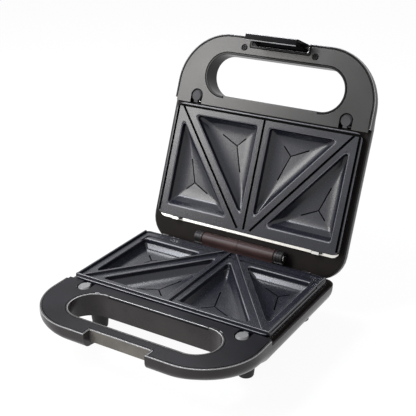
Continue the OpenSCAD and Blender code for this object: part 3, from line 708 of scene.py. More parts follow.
def on_rim(half):
    """A test for the bevel along a housing's outer edge, and on the base for the one round its grip opening."""
    def wanted(face):
        x, y, z = face.center / MM
        way = Vector((x, y - PLATE_FRONT + 30))
        if abs(y - GRIP_Y) < GRIP_R + 3 and abs(x) < GRIP_STRAIGHT + GRIP_R + 3:
            way = Vector((min(max(x, -GRIP_STRAIGHT), GRIP_STRAIGHT) - x, GRIP_Y - y)) * (half == "base")
        if half == "lid" and abs(x) < NOTCH_HALF + 3 and y < NOTCH_Y + 3:
            return False
        high_enough = z > PANEL_TOP - RIM_BEVEL - 0.05 and face.normal.z > 0.1
        return high_enough and leaning(face) and face.normal.xy.dot(way) > 0

    return wanted


def top_edge(edge):
    """True for a sharp edge that lies in a housing's top."""
    return all(abs(v.co.z / MM - PANEL_TOP) < 0.01 for v in edge.verts) and edge.calc_face_angle(0) > 0.87


def in_notch(face):
    """True for the upright face at the back of the notch."""
    x, y = face.center.xy / MM
    return face.normal.y < -0.95 and abs(y - NOTCH_Y) < 0.2 and abs(x) < NOTCH_HALF - 1


print("edges are bevelled by", RIM_BEVEL, "mm")

# %% [markdown]
# The hollow inside is the same form moved in by the wall, less the walls round the grip opening and the
# notch and the posts that the screws go into. Taking it out of the tub leaves an even wall. The base's
# handle is a little shallower behind the notch, where the latch's lip hooks under it.

# %% The two housings
SCREW_POSTS = ((*BASE_SCREW, 4.0), (*LID_SCREW, 3.4))
LENS_X, LENS_Y = 9.0, -141.3
LENS_HOLE_R, SCREW_HOLE_R = 4.0, 2.9
LIP_HALF = 56.0
HOLLOW_TOP, CLEAR_TOP = 5.0, 9.0
RAISED_Z, RAISED_REAR, RAISED_CURVE = -14.4, NOTCH_Y + 7, 4


def shallow_notch(piece, hollow):
    """Raises the underside of the base's handle behind the notch, and the floor of its hollow with it."""
    raised = block("raised", (-NOTCH_HALF, FRONT_Y - 5, TOOL_LOW), (NOTCH_HALF, RAISED_REAR, RAISED_Z))
    cut(piece, round_edges(raised, along((1, 0, 0), lambda p: p.z > -20 and p.y > NOTCH_Y), RAISED_CURVE, 4))
    wide = NOTCH_HALF + WALL
    cut(hollow, block("floor", (-wide, FRONT_Y, TOOL_LOW), (wide, RAISED_REAR + 2.5, RAISED_Z + 2.4)))


def housing(half):
    piece = tub(f"{half}_housing", half, 0, PANEL_TOP)
    hollow = tub("hollow", half, WALL, HOLLOW_TOP)
    cut(hollow, grip_tool(WALL), notch_tool(WALL))
    if half == "base":
        shallow_notch(piece, hollow)
    for side in (-1, 1):
        for x, y, r in SCREW_POSTS:
            cut(hollow, drum("post", (side * x, y, -20), r, 2 * (20 + PANEL_BOTTOM - GAP), sides=24))
    cut(piece, hollow, grip_tool(0), notch_tool(0))
    cut(piece, block("drop", (-HALF_W - 5, PANEL_REAR - 3, RING_TOP), (HALF_W + 5, REAR_Y[half] + 5, CLEAR_TOP)))
    lip_low = (-LIP_HALF, GRIP_Y + GRIP_R - 1, PANEL_BOTTOM - GAP)
    cut(piece, block("lip_room", lip_low, (LIP_HALF, PANEL_REAR, CLEAR_TOP)))
    for side in (-1, 1):
        if half == "base":
            cut(piece, drum("screw_hole", (side * BASE_SCREW[0], BASE_SCREW[1], -26), SCREW_HOLE_R, 18, sides=32))
        else:
            cut(piece, drum("lens_hole", (side * LENS_X, LENS_Y, -29), LENS_HOLE_R, 6, sides=32))
    round_edges(piece, top_edge, RIM_BEVEL, 2)
    # Painted highlight on the rim's bevel, and on the base on the bevel round the grip opening.
    repaint(piece, PLASTICS["edge"], on_rim(half))
    if half == "base":
        # Painted light on the face at the back of the notch.
        repaint(piece, PLASTICS["notch"], in_notch)
    return piece


# Each half takes its own copy of the housing plastic; the lid's is painted darker as painted shade.
for half in ("base", "lid"):
    settle(housing(half), half, half, f"{half}_shell", finish=PLASTICS[f"{half}_housing"])

# %% [markdown]
# ## Handle panels
#
# A flat panel closes the handle, and goes on as a frame round and under the plate. On the real toaster it is
# one moulding, so it is one piece here: a panel, a step down at its rear edge, and the frame, joined before
# the holes are cut. The panel's top edges are lightly rounded to catch the light.

# %% The two panels
EDGE = WALL + GAP
STEP_W = 2.4
TRAY_HALF, TRAY_FRONT, TRAY_REAR = 105, -134.8, -22.7
BUTTON_HOLE_R, SCREW_SEAT_R, LUG_WAY = 7.1, 3.3, 7.3
PANEL_BEVEL = 0.5
LIP_Y = GRIP_Y + GRIP_R


def panel_edge(edge):
    """True for the panel's top edges, apart from the one beside the plate."""
    return top_edge(edge) and max(v.co.y for v in edge.verts) / MM < PANEL_REAR - 0.6


def on_lip(face):
    """True for the bevel along the lip at the back of the grip opening."""
    y, z = face.center.yz / MM
    return abs(y - LIP_Y) < 0.6 and z > PANEL_TOP - 0.6 and face.normal.z > 0.1 and leaning(face)


def handle_panel(half):
    w = HALF_W - EDGE
    piece = block(f"{half}_panel", (-w, FRONT_Y + EDGE, PANEL_BOTTOM), (w, PANEL_REAR, PANEL_TOP))
    round_edges(piece, along((0, 0, 1), lambda p: p.y < PLATE_FRONT - 20), FRONT_R - EDGE, 24)
    cut(piece, grip_tool(EDGE), notch_tool(EDGE))
    ring = block("ring", (-w, PANEL_REAR - STEP_W, RING_BOTTOM), (w, REAR_Y[half] - EDGE, RING_TOP))
    round_edges(ring, along((0, 0, 1), lambda p: p.y > PLATE_REAR - 20), REAR_R[half] - EDGE, 8)
    cut(ring, block("tray_hole", (-TRAY_HALF, TRAY_FRONT, -20), (TRAY_HALF, TRAY_REAR, 5)))
    lip = LIP_HALF - GAP
    add(
        piece,
        block("grip_lip", (-lip, LIP_Y, PANEL_BOTTOM), (lip, PANEL_REAR - 0.4, PANEL_TOP)),
        block("step", (-w, PANEL_REAR - STEP_W, RING_BOTTOM), (w, PANEL_REAR, PANEL_BOTTOM + 1)),
        ring,
    )
    for side in (-1, 1):
        x, r, way = side * BUTTON_X, BUTTON_HOLE_R, LUG_WAY
        cut(
            piece,
            drum("button_hole", (x, BUTTON_Y, -3.7), r, 10, sides=48),
            block("button_slot", (x - r, BUTTON_Y, -8.7), (x + r, PANEL_REAR + 1, 3)),
            block("lug_way", (x - way, PLATE_FRONT - 0.1, RING_BOTTOM - 1), (x + way, PLATE_FRONT + 2.2, -6)),
        )
        if half == "lid":
            cut(piece, drum("screw_seat", (side * LID_SCREW[0], LID_SCREW[1], -1.2), SCREW_SEAT_R, 4, sides=40))
    round_edges(piece, panel_edge, PANEL_BEVEL, 3)
    # Painted highlight on the base's lip bevel.
    repaint(piece, PLASTICS["edge"], lambda face: half == "base" and on_lip(face))
    # Painted shade: the frame under the panel gets the duller frame finish.
    repaint(piece, PLASTICS["frame"], lambda face: face.center.z / MM < PANEL_BOTTOM - 1)
    return piece


# Each half takes its own copy of the panel plastic; the lid's is painted paler and glossier as painted reflection.
for half in ("base", "lid"):
    settle(handle_panel(half), half, half, f"{half}_frame", finish=PLASTICS[f"{half}_panel"])

# %% [markdown]
# ## Cooking plates
#
# Each plate holds two pairs of triangular pockets. A pocket's wall starts steeply under a rounded rim, leans
# over into an even slope, and runs out softly into three floor facets that meet in a thin engraved Y. In the
# lid the rear pockets reach further back, with a plain slope there, so that steam can leave. The cutting tool
# for one is a triangular prism: a box cut along its diagonal with bisect, its upright edges bevelled. Its
# bottom face is then extruded in steps and scaled towards the middle of the triangle.

# %% Triangles
SEAL_X, SEAL_Y = 107.2, -138.0
DIAGONAL_X, SLOPE = 101.84, 1.26427  # the diagonal seal line: its x at the front, and its steepness
CORNER_R = 3.4


def diagonal_at(y, land):
    """X of a line beside the diagonal sealing line, at y; a positive land lies towards the outer pocket."""
    return DIAGONAL_X - (y - SEAL_Y) / SLOPE + land * math.sqrt(1 + SLOPE**2) / SLOPE


def mouth(square, land):
    """A right-angled triangle from its square corner, with its long side beside the diagonal."""
    x, y = square
    across = diagonal_at(y, land)
    return [Vector((x, y, 0)), Vector((across, y, 0)), Vector((x, y - (x - across) * SLOPE, 0))]


def triangle(cell, inset, back=None):
    """A pocket's outline moved in by an inset, with another inset at its back if given."""
    (x, y), land, way = cell
    return mouth((x + way * inset, y + way * (inset if back is None else back)), land - way * inset)


# a pocket's square corner, its distance from the diagonal, and the way from the corner into the pocket
FRONT_CELL = ((7.3, -129.7), -8.7, 1)
REAR_CELL = ((98.7, -32.2), 7.0, -1)


def middle_of(corners):
    """The middle of the circle inside a triangle, and its radius."""
    a, b, c = corners
    sides = [(b - c).length, (c - a).length, (a - b).length]
    middle = (a * sides[0] + b * sides[1] + c * sides[2]) / sum(sides)
    return middle, (b - a).cross(c - a).length / sum(sides)


def prism(name, corners, low, high):
    """A triangular prism between two heights, its upright edges rounded."""
    square, left, right = corners
    corner_low, corner_high = Vector(map(min, *corners)), Vector(map(max, *corners))
    piece = block(name, (corner_low.x, corner_low.y, low), (corner_high.x, corner_high.y, high))
    across = (right - left).cross(Vector((0, 0, 1))).normalized()
    if across.dot(square - left) > 0:
        across = -across
    with editing(piece):
        bpy.ops.mesh.bisect(plane_co=left * MM, plane_no=across, use_fill=True, clear_outer=True)
    for corner, others in ((square, (left, right)), (left, (square, right)), (right, (square, left))):
        opening = (others[0] - corner).angle(others[1] - corner)
        round_edges(piece, along((0, 0, 1), lambda p: (p.xy - corner.xy).length < 0.5),
                    CORNER_R / math.tan(opening / 2), 8)
    return piece


def pocket_form(name, outlines, start):
    """A solid from a start height down through a list of (triangle, height)."""
    corners, z = outlines[0]
    piece = prism(name, corners, z, start)
    middle, radius = middle_of(corners)
    with editing(piece):
        pick(piece, "FACE", facing((0, 0, -1)))
        for corners, lower in outlines[1:]:
            new_middle, new_radius = middle_of(corners)
            move = (new_middle - middle + Vector((0, 0, lower - z))) * MM
            bpy.ops.mesh.extrude_region_move(TRANSFORM_OT_translate={"value": move})
            bpy.ops.transform.resize(value=(new_radius / radius,) * 2 + (1,),
                                     center_override=(new_middle.x * MM, new_middle.y * MM, lower * MM))
            middle, radius, z = new_middle, new_radius, lower
    return piece


# inset, depth below the plate, inset at the back of the lid's rear pockets
WALL_STEPS = (
    (-1.3, 0.0, -6.3), (-0.85, 0.07, -5.85), (-0.45, 0.27, -5.4), (-0.15, 0.6, -5.0), (0.0, 1.1, -4.5),
    (0.3, 4.3, -1.6), (0.55, 5.2, -0.7), (1.0, 5.8, -0.1), (4.3, 8.85, 4.3), (5.3, 9.5, 5.3), (6.6, 10.0, 6.6),
    (8.3, 10.4, 8.3), (10.3, 10.7, 10.3), (12.8, 10.95, 12.8), (16.0, 11.1, 16.0),
)
BODY_STEPS = ((-2.5, 2.3, -7.5), (-2.1, 7.5, -2.1), (2.2, 11.9, 2.2), (4.0, 12.5, 4.0), (14.0, 12.8, 14.0))
FLOOR_DEPTH = 11.3


def outlines(cell, steps, longer, floor=None):
    """A pocket's outlines with their heights; a floor adds the point where its three facets meet."""
    made = [(triangle(cell, inset, back if longer else None), PLATE_TOP - depth) for inset, depth, back in steps]
    if floor:
        made.append((triangle(cell, middle_of(triangle(cell, 0))[1] - 0.4), PLATE_TOP - floor))
    return made


print("pocket wall in", len(WALL_STEPS), "steps")

# %% [markdown]
# Ridges on the base plate press into grooves in the lid's plate and seal each sandwich. A ridge is a bar with
# a narrower top and softened edges, turned into place; a groove is cut with a plain bar of the same line.

# %% Seal lines and marks
PLATE_CORNER_R, PLATE_THICK, PLATE_BEVEL = 8, 3, 0.9
RIDGE_REAR = PLATE_REAR - 4
RIDGE_W, RIDGE_H, GROOVE_DEPTH = 2.6, 2.6, 2.3
MARK_W, MARK_REACH = 2.6, 0.38
RIB_W, RIB_H = 1.5, 0.9
SEAL_LINES = [
    ((-SEAL_X - 1.3, SEAL_Y), (SEAL_X + 1.3, SEAL_Y)),
    ((0, SEAL_Y), (0, RIDGE_REAR)),
]
for side in (-1, 1):
    SEAL_LINES.append(((side * SEAL_X, SEAL_Y), (side * SEAL_X, RIDGE_REAR)))
    SEAL_LINES.append(((side * DIAGONAL_X, SEAL_Y), (side * diagonal_at(RIDGE_REAR, 0), RIDGE_REAR)))


def bar(name, a, b, width, z0, z1, narrow=1.0, soft=0.0, end=1):
    """A straight bar from a to b on the plate, narrower at its top (end 1) or bottom (end -1) if asked."""
    a, b = Vector((*a, 0)), Vector((*b, 0))
    piece = block(name, (0, -width / 2, z0), ((b - a).length, width / 2, z1))
    if narrow < 1:
        with editing(piece):
            pick(piece, "FACE", facing((0, 0, end)))
            bpy.ops.transform.resize(value=(1, narrow, 1), center_override=(0, 0, 0))
    if soft:
        round_edges(piece, lambda e: all(v.co.z / MM > z1 - 0.01 for v in e.verts), soft, 4)
    turn = math.atan2(b.y - a.y, b.x - a.x)
    piece.matrix_world = Matrix.Translation(a * MM) @ Matrix.Rotation(turn, 4, "Z")
    only(piece)
    bpy.ops.object.transform_apply(location=True, rotation=True, scale=True)
    return piece


def mark_tools(cell):
    """The engraved Y: one thin bar with a narrow bottom from the pocket's middle towards each corner."""
    corners = triangle(cell, 0)
    middle, _ = middle_of(corners)
    floor = PLATE_TOP - FLOOR_DEPTH
    return [
        bar("mark", middle.xy, middle.xy.lerp(corner.xy, MARK_REACH), MARK_W, floor - 1.0, floor + 1.4, 0.1, end=-1)
        for corner in corners
    ]


def rear_rib(inset):
    """A low rib along the base plate's rear edge that turns the corners with it."""
    def slab(name, more, low, high):
        edge = inset + more
        tool = block(name, (-PLATE_HALF + edge, PLATE_REAR - 30, low), (PLATE_HALF - edge, PLATE_REAR - edge, high))
        upright = along((0, 0, 1), lambda p: p.y > PLATE_REAR - 20)
        return round_edges(tool, upright, max(PLATE_CORNER_R - edge, 3), 6)

    rib = slab("rib", 0, PLATE_TOP - 0.4, PLATE_TOP + RIB_H)
    round_edges(rib, lambda e: all(v.co.z / MM > PLATE_TOP + RIB_H - 0.01 for v in e.verts), 0.35, 3)
    cut(rib, slab("inside", RIB_W, -9, 9))
    return cut(rib, block("front", (-200, PLATE_REAR - 40, -9), (200, PLATE_REAR - 24, 9)))


def in_groove(face):
    """True for the inside of a seal groove or of an engraved mark."""
    depth, up = PLATE_TOP - face.center.z / MM, face.normal.z
    inner = abs(face.center.x) / MM < PLATE_HALF - 1 and PLATE_FRONT + 1 < face.center.y / MM < PLATE_REAR - 1
    groove_floor = abs(depth - GROOVE_DEPTH) < 0.01 and up > 0.99
    groove_wall = 0.9 < depth < 2.0 and abs(up) < 0.02
    mark = depth > FLOOR_DEPTH + 0.05 and up > 0.1
    return inner and (groove_floor or groove_wall) or mark


print(len(SEAL_LINES), "seal lines")

# %% [markdown]
# The plate itself is a slab with round corners and a softened upper edge. The pockets' outer walls, the lugs
# and the rear hooks are joined to it, then everything is cut, and the ridges and ribs come last.

# %% The two plates
LUG_HALF, LUG_BOTTOM = 7, -15.6
CATCH_HALF, CATCH_BOTTOM, CATCH_TOP = 4.3, -13.9, -10.7
HOOK_X, HOOK_HALF, HOOK_REACH = 85, 5, 2.2
RIB_INSETS = (0.9, 9.3)


def fittings(piece):
    """Joins on the lugs that the catches hold and the rear hooks; returns the tools for the catches' holes."""
    holes = []
    for side in (-1, 1):
        x, hook = side * BUTTON_X, side * HOOK_X
        add(piece, block("lug", (x - LUG_HALF, PLATE_FRONT + 0.3, LUG_BOTTOM), (x + LUG_HALF, PLATE_FRONT + 1.8, -1.5)))
        holes.append(block("catch_hole", (x - CATCH_HALF, PLATE_FRONT - 1, CATCH_BOTTOM),
                           (x + CATCH_HALF, PLATE_FRONT + 3, CATCH_TOP)))
        add(piece, block("hook_tab", (hook - HOOK_HALF, PLATE_REAR - 2, -3.6),
                         (hook + HOOK_HALF, PLATE_REAR + HOOK_REACH, -2.3)))
    return holes


def plate(half):
    low, high = (-PLATE_HALF, PLATE_FRONT, PLATE_TOP - PLATE_THICK), (PLATE_HALF, PLATE_REAR, PLATE_TOP)
    piece = block(f"{half}_cooking_plate", low, high)
    round_edges(piece, along((0, 0, 1)), PLATE_CORNER_R, 8)
    round_edges(piece, lambda e: all(v.co.z / MM > PLATE_TOP - 0.01 for v in e.verts), PLATE_BEVEL, 4)
    tools = []
    for cell in (FRONT_CELL, REAR_CELL):
        longer = half == "lid" and cell is REAR_CELL
        body = pocket_form("pocket_body", outlines(cell, BODY_STEPS, longer), PLATE_TOP - 1.5)
        tool = pocket_form("pocket", outlines(cell, WALL_STEPS, longer, FLOOR_DEPTH), PLATE_TOP + 3)
        for mark in mark_tools(cell):
            add(tool, mark)
        tools += [tool, mirrored(tool, "pocket_left")]
        add(piece, mirrored(body, "body_left"), body)
    cut(piece, *tools, *fittings(piece))
    if half == "base":
        for inset in RIB_INSETS:
            add(piece, rear_rib(inset))
    for a, b in SEAL_LINES:
        if half == "base":
            add(piece, bar("ridge", a, b, RIDGE_W, PLATE_TOP - 0.6, PLATE_TOP + RIDGE_H, 0.66, 0.55))
        else:
            a, b = Vector(a), Vector(b)
            spare = (b - a).normalized() * 0.4
            cut(piece, bar("groove", a - spare, b + spare, RIDGE_W, PLATE_TOP - GROOVE_DEPTH, PLATE_TOP + 2))
    # Painted highlight on the plate's rounded edges and pocket rims.
    repaint(piece, PLASTICS["plate_edge"],
            lambda face: face.center.z / MM > PLATE_TOP - 0.95 and 0.2 < face.normal.z < 0.93)
    # Painted shade inside the grooves and the engraved marks.
    repaint(piece, PLASTICS["shade"], in_groove)
    return piece


for half in ("base", "lid"):
    settle(plate(half), half, half, f"{half}_plate", finish=COATING)

# %% [markdown]
# ## Release buttons
#
# Pressing a button frees the plate beside it. The button is a disc with a sloping crescent on the handle's
# side and a short tongue towards the plate. Extruding the disc's top face, then scaling and shifting it,
# makes the crescent. One button is modelled, and the other three are copies.

# %% The four buttons
BUTTON_R, BUTTON_TOP = 6.2, PANEL_TOP + 0.6
CRESCENT, CRESCENT_H, CRESCENT_SHARE = 0.95, 1.4, 0.82  # shift, height and size of the button's upper face
TONGUE_HALF, STEM_R = 2.5, 2.2


def button():
    top = BUTTON_TOP
    piece = drum("button", (0, 0, top - 2.9), BUTTON_R, 3.0, sides=64)
    with editing(piece):
        pick(piece, "FACE", facing((0, 0, 1)))
        bpy.ops.mesh.extrude_region_move(TRANSFORM_OT_translate={"value": (0, CRESCENT * MM, CRESCENT_H * MM)})
        bpy.ops.transform.resize(value=(CRESCENT_SHARE, CRESCENT_SHARE, 1),
                                 center_override=(0, CRESCENT * MM, top * MM))
    round_edges(piece, lambda e: all(v.co.z / MM > top - 0.01 for v in e.verts), 0.25, 2)
    tongue = block("tongue", (-TONGUE_HALF, 0, top - 4.0), (TONGUE_HALF, PANEL_REAR - BUTTON_Y - 0.6, top - 0.5))
    round_edges(tongue, lambda e: all(v.co.z / MM > top - 0.51 for v in e.verts), 0.4, 3)
    stem = drum("stem", (0, 0, -11), STEM_R, 14, sides=24)
    return add(piece, tongue, stem)


master = button()
# The base's buttons take the paler copy as painted highlight, and the lid's take the darker one.
for half, finish in (("base", "button"), ("lid", "lid_button")):
    for side, x in (("left", -BUTTON_X), ("right", BUTTON_X)):
        made = copy_of(master, f"{half}_release_button_{side}")
        made.matrix_world = Matrix.Translation((x * MM, BUTTON_Y * MM, 0))
        bpy.ops.object.transform_apply(location=True, rotation=True, scale=True)
        node = f"{half}_button_{side}"
        settle(made, half, node, node, finish=PLASTICS[finish])
bpy.data.objects.remove(master)

# %% [markdown]
# ## Hinge
#
# The base carries a long barrel, and the lid a short knuckle at each end of it. Each knuckle has two fine
# grooves turned round it, and the bright dome of the hinge pin shows in its end.

# %% Barrel, knuckles and pins
BARREL_R, BARREL_HALF, KNUCKLE_IN, KNUCKLE_OUT = 6.7, 43.0, 43.4, 53.2
PIN_R, HEAD_R, RECESS_R = 2.0, 3.3, 3.8


def ring_cut(piece, x, width, depth):
    """Turns a fine groove round a barrel or a knuckle."""
    ring = drum("ring_groove", (x, 0, 0), BARREL_R + 1, width, "X", 64)
    cut(ring, drum("core", (x, 0, 0), BARREL_R - depth, 3, "X", 64))
    return cut(piece, ring)


def barrel():
    piece = drum("hinge_barrel_cover", (0, 0, 0), BARREL_R, 2 * BARREL_HALF, "X", 64)
    round_edges(piece, lambda e: abs(abs(sum(v.co.x for v in e.verts)) / 2 / MM - BARREL_HALF) < 0.01, 0.6, 3)
    ring_cut(piece, 0, 0.5, 0.35)
    web = BARREL_HALF - 0.5
    return add(
        piece,
        block("web", (-web, REAR_Y["base"] + 0.1, RING_TOP), (web, 3, -1)),
        block("strap", (-web, -11.7, RING_TOP), (web, -5.8, RING_TOP + 1.4)),
    )


def knuckle(side):
    middle = side * (KNUCKLE_IN + KNUCKLE_OUT) / 2
    piece = drum("knuckle", (middle, 0, 0), BARREL_R, KNUCKLE_OUT - KNUCKLE_IN, "X", 64)
    round_edges(piece, lambda e: all(abs(v.co.yz.length / MM - BARREL_R) < 0.01 for v in e.verts)
                and abs(e.verts[0].co.x - e.verts[1].co.x) < 1e-7, 0.7, 3)
    add(piece, block("web", (middle - 4.7, -5, RING_TOP), (middle + 4.7, 5, -2)))
    for offset in (1.6, -1.6):
        ring_cut(piece, middle + offset, 0.6, 0.4)
    return cut(piece, drum("recess", (side * KNUCKLE_OUT, 0, 0), RECESS_R, 4, "X", 48))


def pin(side):
    """The pin and its domed end."""
    piece = drum("pin", (side * (KNUCKLE_OUT - 12), 0, 0), PIN_R, 21, "X", 32)
    head = drum("head", (side * (KNUCKLE_OUT - 1.25), 0, 0), HEAD_R, 1.5, "X", 48)
    with editing(head):
        pick(head, "FACE", facing((side, 0, 0)))
        for reach, size in ((0.35, 0.93), (0.3, 0.85), (0.2, 0.72), (0.1, 0.5)):
            bpy.ops.mesh.extrude_region_move(TRANSFORM_OT_translate={"value": (side * reach * MM, 0, 0)})
            bpy.ops.transform.resize(value=(1, size, size), center_override=(side * KNUCKLE_OUT * MM, 0, 0))
    return add(piece, head)


settle(barrel(), "base", "base", "hinge_barrel", finish=PLASTICS["hinge"])
for name, side in (("left", -1), ("right", 1)):
    made = knuckle(side)
    made.name = f"hinge_knuckle_{name}"
    settle(made, "lid", "lid", f"knuckle_{name}", finish=PLASTICS["knuckle"])
    made = pin(side)
    made.name = f"hinge_pin_end_{name}"
    settle(made, "lid", "lid", f"hinge_pin_{name}", finish=METALS["bright_steel"])

# %% [markdown]
# ## Latch
#
# The latch is a flap on a pin in the lid's notch. Its lip hooks under the base's handle when the toaster is
# shut. It is an L-shaped bar with a round bearing along the pin and a rib at each end. A Bevel modifier
# softens every sharp edge at once, and the edges of the lip are painted pale as a painted highlight.

# %% Latch
LATCH_HALF, LATCH_Y, LATCH_Z, LATCH_FRONT, LIP_Z = 30.0, -217.6, -6.0, -221.6, 20.75
LATCH_THICK, LIP_REACH = 2.6, 4.8
BEARING_R, CAP_R, CAP_W, RIB_REAR = 4.6, 4.0, 5, 3.4


def soften(piece, width, segments):
    """Bevels every sharp edge; the width in millimetres isn't limited by short edges."""
    return finish_with(piece, "BEVEL", width=width * MM, segments=segments, limit_method="ANGLE",
                       angle_limit=math.radians(50), use_clamp_overlap=False)


def latch():
    piece = block("latch_flap", (-LATCH_HALF, LATCH_FRONT, -15),
                  (LATCH_HALF, LATCH_FRONT + LATCH_THICK, LIP_Z + LATCH_THICK))
    with editing(piece):
        bpy.ops.mesh.bisect(plane_co=(0, 0, LIP_Z * MM), plane_no=(0, 0, 1))
        pick(piece, "FACE", lambda f: f.normal.y > 0.9 and f.calc_center_median().z / MM > LIP_Z)
        bpy.ops.mesh.extrude_region_move(TRANSFORM_OT_translate={"value": (0, LIP_REACH * MM, 0)})
    add(piece, drum("bearing", (0, LATCH_Y, LATCH_Z), BEARING_R, 2 * LATCH_HALF - 3, "X", 40))
    for side in (-1, 1):
        inner, outer = side * (LATCH_HALF - CAP_W), side * LATCH_HALF
        cap = drum("cap", ((inner + outer) / 2, LATCH_Y, LATCH_Z), CAP_R, CAP_W, "X", 40)
        rib = block("rib", (min(inner, outer), LATCH_FRONT, LATCH_Z),
                    (max(inner, outer), LATCH_Y + RIB_REAR, LIP_Z + 1))
        with editing(rib):
            pick(rib, "VERT", lambda v: v.co.y / MM > LATCH_Y and v.co.z / MM > LIP_Z)
            bpy.ops.transform.translate(value=(0, -4.4 * MM, 0))
        add(piece, cap, rib)
    soften(piece, 0.8, 3)
    # Painted highlight on the lip's bevelled edges.
    repaint(piece, PLASTICS["edge"],
            lambda face: face.center.z / MM > LIP_Z - 0.5 and abs(face.normal.x) < 0.2 and leaning(face))
    return piece


settle(latch(), "lid", "latch", "latch", finish=PLASTICS["latch"])

# %% [markdown]
# ## Feet, screws and lenses
#
# A rubber foot is a short cone, widest where it meets the housing, softly rounded at the bottom and hollow.
# Each screw has a domed head with a cross cut in it, and each lens is a shallow dome.

# %% Feet
FOOT_X, FOOT_H, FOOT_YS = 84.0, 23.5, {"front": -134.8, "rear": -18.0}
FOOT_R, FOOT_TOP_R, FOOT_HOLE_R = 7.5, 10, 3.4


def foot(y):
    low = -DEPTH - FOOT_H
    piece = drum("foot", (0, 0, low + FOOT_H / 2), FOOT_R, FOOT_H, sides=48)
    with editing(piece):
        pick(piece, "FACE", facing((0, 0, 1)))
        wider = FOOT_TOP_R / FOOT_R
        bpy.ops.transform.resize(value=(wider, wider, 1), center_override=(0, 0, -DEPTH * MM))
    round_edges(piece, lambda e: all(v.co.z / MM < low + 0.01 for v in e.verts), 1.4, 4)
    cut(piece, drum("recess", (0, 0, low), FOOT_HOLE_R, 2 * (FOOT_H - 3), sides=32))
    piece.matrix_world = Matrix.Translation((FOOT_X * MM, y * MM, 0))
    only(piece)
    bpy.ops.object.transform_apply(location=True, rotation=True, scale=True)
    return piece


for name, y in FOOT_YS.items():
    made = foot(y)
    other = mirrored(made, "other")
    settle(joined(f"{name}_rubber_feet", made, other), "base", "base", f"{name}_feet",
           finish=PLASTICS["rubber"])

# %% Screws
def screw(name, centre, radius, height, shank, up=1):
    """A cross-head screw; up is the side that its head faces."""
    x, y, z = centre
    piece = drum(name, (x, y, z + up * height / 2), radius, height, sides=40)
    round_edges(piece, lambda e: all(abs(v.co.z / MM - z - up * height) < 0.01 for v in e.verts), height * 0.45, 3)
    long, short, floor = radius * 0.62, radius * 0.16, z + up * height * 0.35
    low, high = sorted((floor, z + up * 3))
    for a, b in ((short, long), (long, short)):
        cut(piece, block("cross", (x - a, y - b, low), (x + a, y + b, high)))
    return add(piece, drum("shank", (x, y, z - up * shank / 2 + up * 0.1), radius * 0.5, shank, sides=20))


def pair(make):
    """A piece and its mirror image as one object."""
    first = make()
    return joined(first.name, first, mirrored(first, "other"))


settle(pair(lambda: screw("lid_panel_screws", (*LID_SCREW, PANEL_TOP - 1.2), 2.9, 1.1, 9)), "lid", "lid",
       "lid_screws", finish=METALS["black_steel"])
settle(pair(lambda: screw("base_panel_screws", (*BASE_SCREW, -18), 2.7, 1.8, 12, -1)), "base", "base",
       "base_screws", finish=METALS["bright_steel"])
sets = [pair(lambda y=y: screw("foot_fixings", (FOOT_X, y, -34), 3.0, 1.8, 8, -1)) for y in FOOT_YS.values()]
settle(joined("foot_fixings", *sets), "base", "base", "foot_screws",
       finish=METALS["bright_steel"])


# %% [markdown]
# Two lenses show through the lid's outside: one for power, and one that says the plates are hot.

# %% Lenses
def lens(side):
    """A shallow dome on a short barrel through the housing's wall."""
    centre = (side * LENS_X, LENS_Y)
    piece = drum("lens", (*centre, -DEPTH + 1.1), 3.9, 2.2, sides=48)
    rim = drum("rim", (*centre, -DEPTH - 0.15), 4.8, 0.3, sides=48)
    with editing(rim):
        pick(rim, "FACE", facing((0, 0, -1)))
        for drop, size in ((0.2, 0.92), (0.2, 0.84), (0.12, 0.7), (0.08, 0.45)):
            bpy.ops.mesh.extrude_region_move(TRANSFORM_OT_translate={"value": (0, 0, -drop * MM)})
            bpy.ops.transform.resize(
                value=(size, size, 1), center_override=(centre[0] * MM, centre[1] * MM, -DEPTH * MM)
            )
    return add(piece, rim)


for name, side, slot in (("power", -1, "red_lens"), ("ready", 1, "green_lens")):
    made = lens(side)
    made.name = f"{name}_light_lens"
    settle(made, "lid", "lid", f"{name}_lens", finish=CLEAR[slot])

# %% [markdown]
# ## What stays as the CAD made it
#
# The pieces inside are seen only as a glint through a gap, and their CAD shapes are right, so they keep
# them and only take a finish. The record says which finish each one has.

# %% Finishes of the CAD pieces
FINISHES = {**PLASTICS, **METALS, **CLEAR, "nonstick": COATING}
FINISHES.update(housing=PLASTICS["base_housing"], panel=PLASTICS["base_panel"])
slots = {row["node"]: row["material_slot"] for row in frame["record"]["subparts"]}
for node, piece in frame["nodes"].items():
    piece.data.materials.clear()
    piece.data.materials.append(FINISHES[slots[node]])
print("finished", len(slots), "CAD pieces")

# %% [markdown]
# ## Studio
#
# A pale floor and a white surround, with three soft lights on the left: one in front, one high above it that
# the pockets' slopes reflect, and one behind. The surround is white to the camera and to reflections, and a
# softer grey for the light it adds.

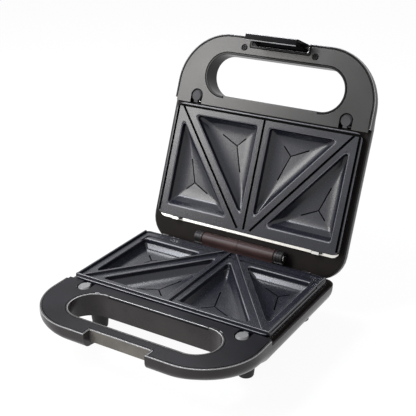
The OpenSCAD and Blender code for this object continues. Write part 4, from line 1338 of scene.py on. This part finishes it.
# %% Floor
bpy.ops.mesh.primitive_plane_add(size=12, location=(0, 0, 0))
floor = started("studio_floor")
ground = Paint("floor_paint")
rays = [ground.node("ShaderNodeLightPath", out=f"Is {kind} Ray") for kind in ("Camera", "Glossy", "Transmission")]
seen = rays[0].maths("MAXIMUM", rays[0], rays[1].maths("MAXIMUM", rays[1], rays[2]))
paper = ground.noise(400)
shade = ground.mixed(paper, (0.86, 0.86, 0.86), (0.88, 0.88, 0.88))
ground.set(Base_Color=shade, Roughness=0.9, Specular_IOR_Level=0.1)
glow = ground.node("ShaderNodeEmission", None, {"Color": (1, 1, 1, 1), "Strength": 1.05}, "Emission")
mixed = ground.node("ShaderNodeMixShader", None, {0: seen * 0.9, 1: Wire(ground, ground.shader.outputs[0]), 2: glow})
ground.tree.links.new(mixed.socket, ground.tree.nodes["Material Output"].inputs["Surface"])
floor.data.materials.append(ground.material)
print("floor is", [round(v, 1) for v in floor.dimensions], "m")

# %% The surround
world = bpy.data.worlds.new("studio")
bpy.context.scene.world = world
world.use_nodes = True
nodes, links = world.node_tree.nodes, world.node_tree.links
path = nodes.new("ShaderNodeLightPath")
AMBIENT = 0.28


def math_node(operation, a, b):
    made = nodes.new("ShaderNodeMath")
    made.operation = operation
    for socket, value in zip(made.inputs, (a, b)):
        if hasattr(value, "is_output"):
            links.new(value, socket)
        else:
            socket.default_value = value
    return made.outputs[0]


shown = math_node("MAXIMUM", path.outputs["Is Camera Ray"], path.outputs["Is Glossy Ray"])
shown = math_node("MAXIMUM", shown, path.outputs["Is Transmission Ray"])
strength = math_node("ADD", math_node("MULTIPLY", shown, 1 - AMBIENT), AMBIENT)
links.new(strength, nodes["Background"].inputs["Strength"])
nodes["Background"].inputs["Color"].default_value = (1, 1, 1, 1)
print("the surround gives", AMBIENT, "of its brightness as light")

# %% Lamps
LAMP_DISTANCE = 1.2
LAMP_AIM = Vector((0, 0, 0.1))


def softbox(name, direction, size, power, tint):
    """A large soft light that faces the object; size in metres, power in watts."""
    direction = Vector(direction).normalized()
    lamp = bpy.data.lights.new(name, "AREA")
    lamp.shape, lamp.size, lamp.size_y = "RECTANGLE", size[0], size[1]
    lamp.energy, lamp.color = power, tint
    made = bpy.data.objects.new(name, lamp)
    bpy.context.scene.collection.objects.link(made)
    made.location = LAMP_AIM + direction * LAMP_DISTANCE
    made.rotation_mode = "QUATERNION"
    made.rotation_quaternion = direction.to_track_quat("Z", "Y")


softbox("key_light", (-0.572, -0.635, 0.52), (0.28, 0.68), 7.5, (1.0, 0.985, 0.965))
softbox("high_light", (-0.482, -0.350, 0.803), (0.30, 0.26), 7.4, (0.90, 0.92, 1.0))
softbox("rear_light", (-0.48, 0.47, 0.735), (0.42, 0.32), 4.8, (0.95, 0.96, 1.0))

bpy.context.scene.view_settings.view_transform = "Standard"
print("studio ready")
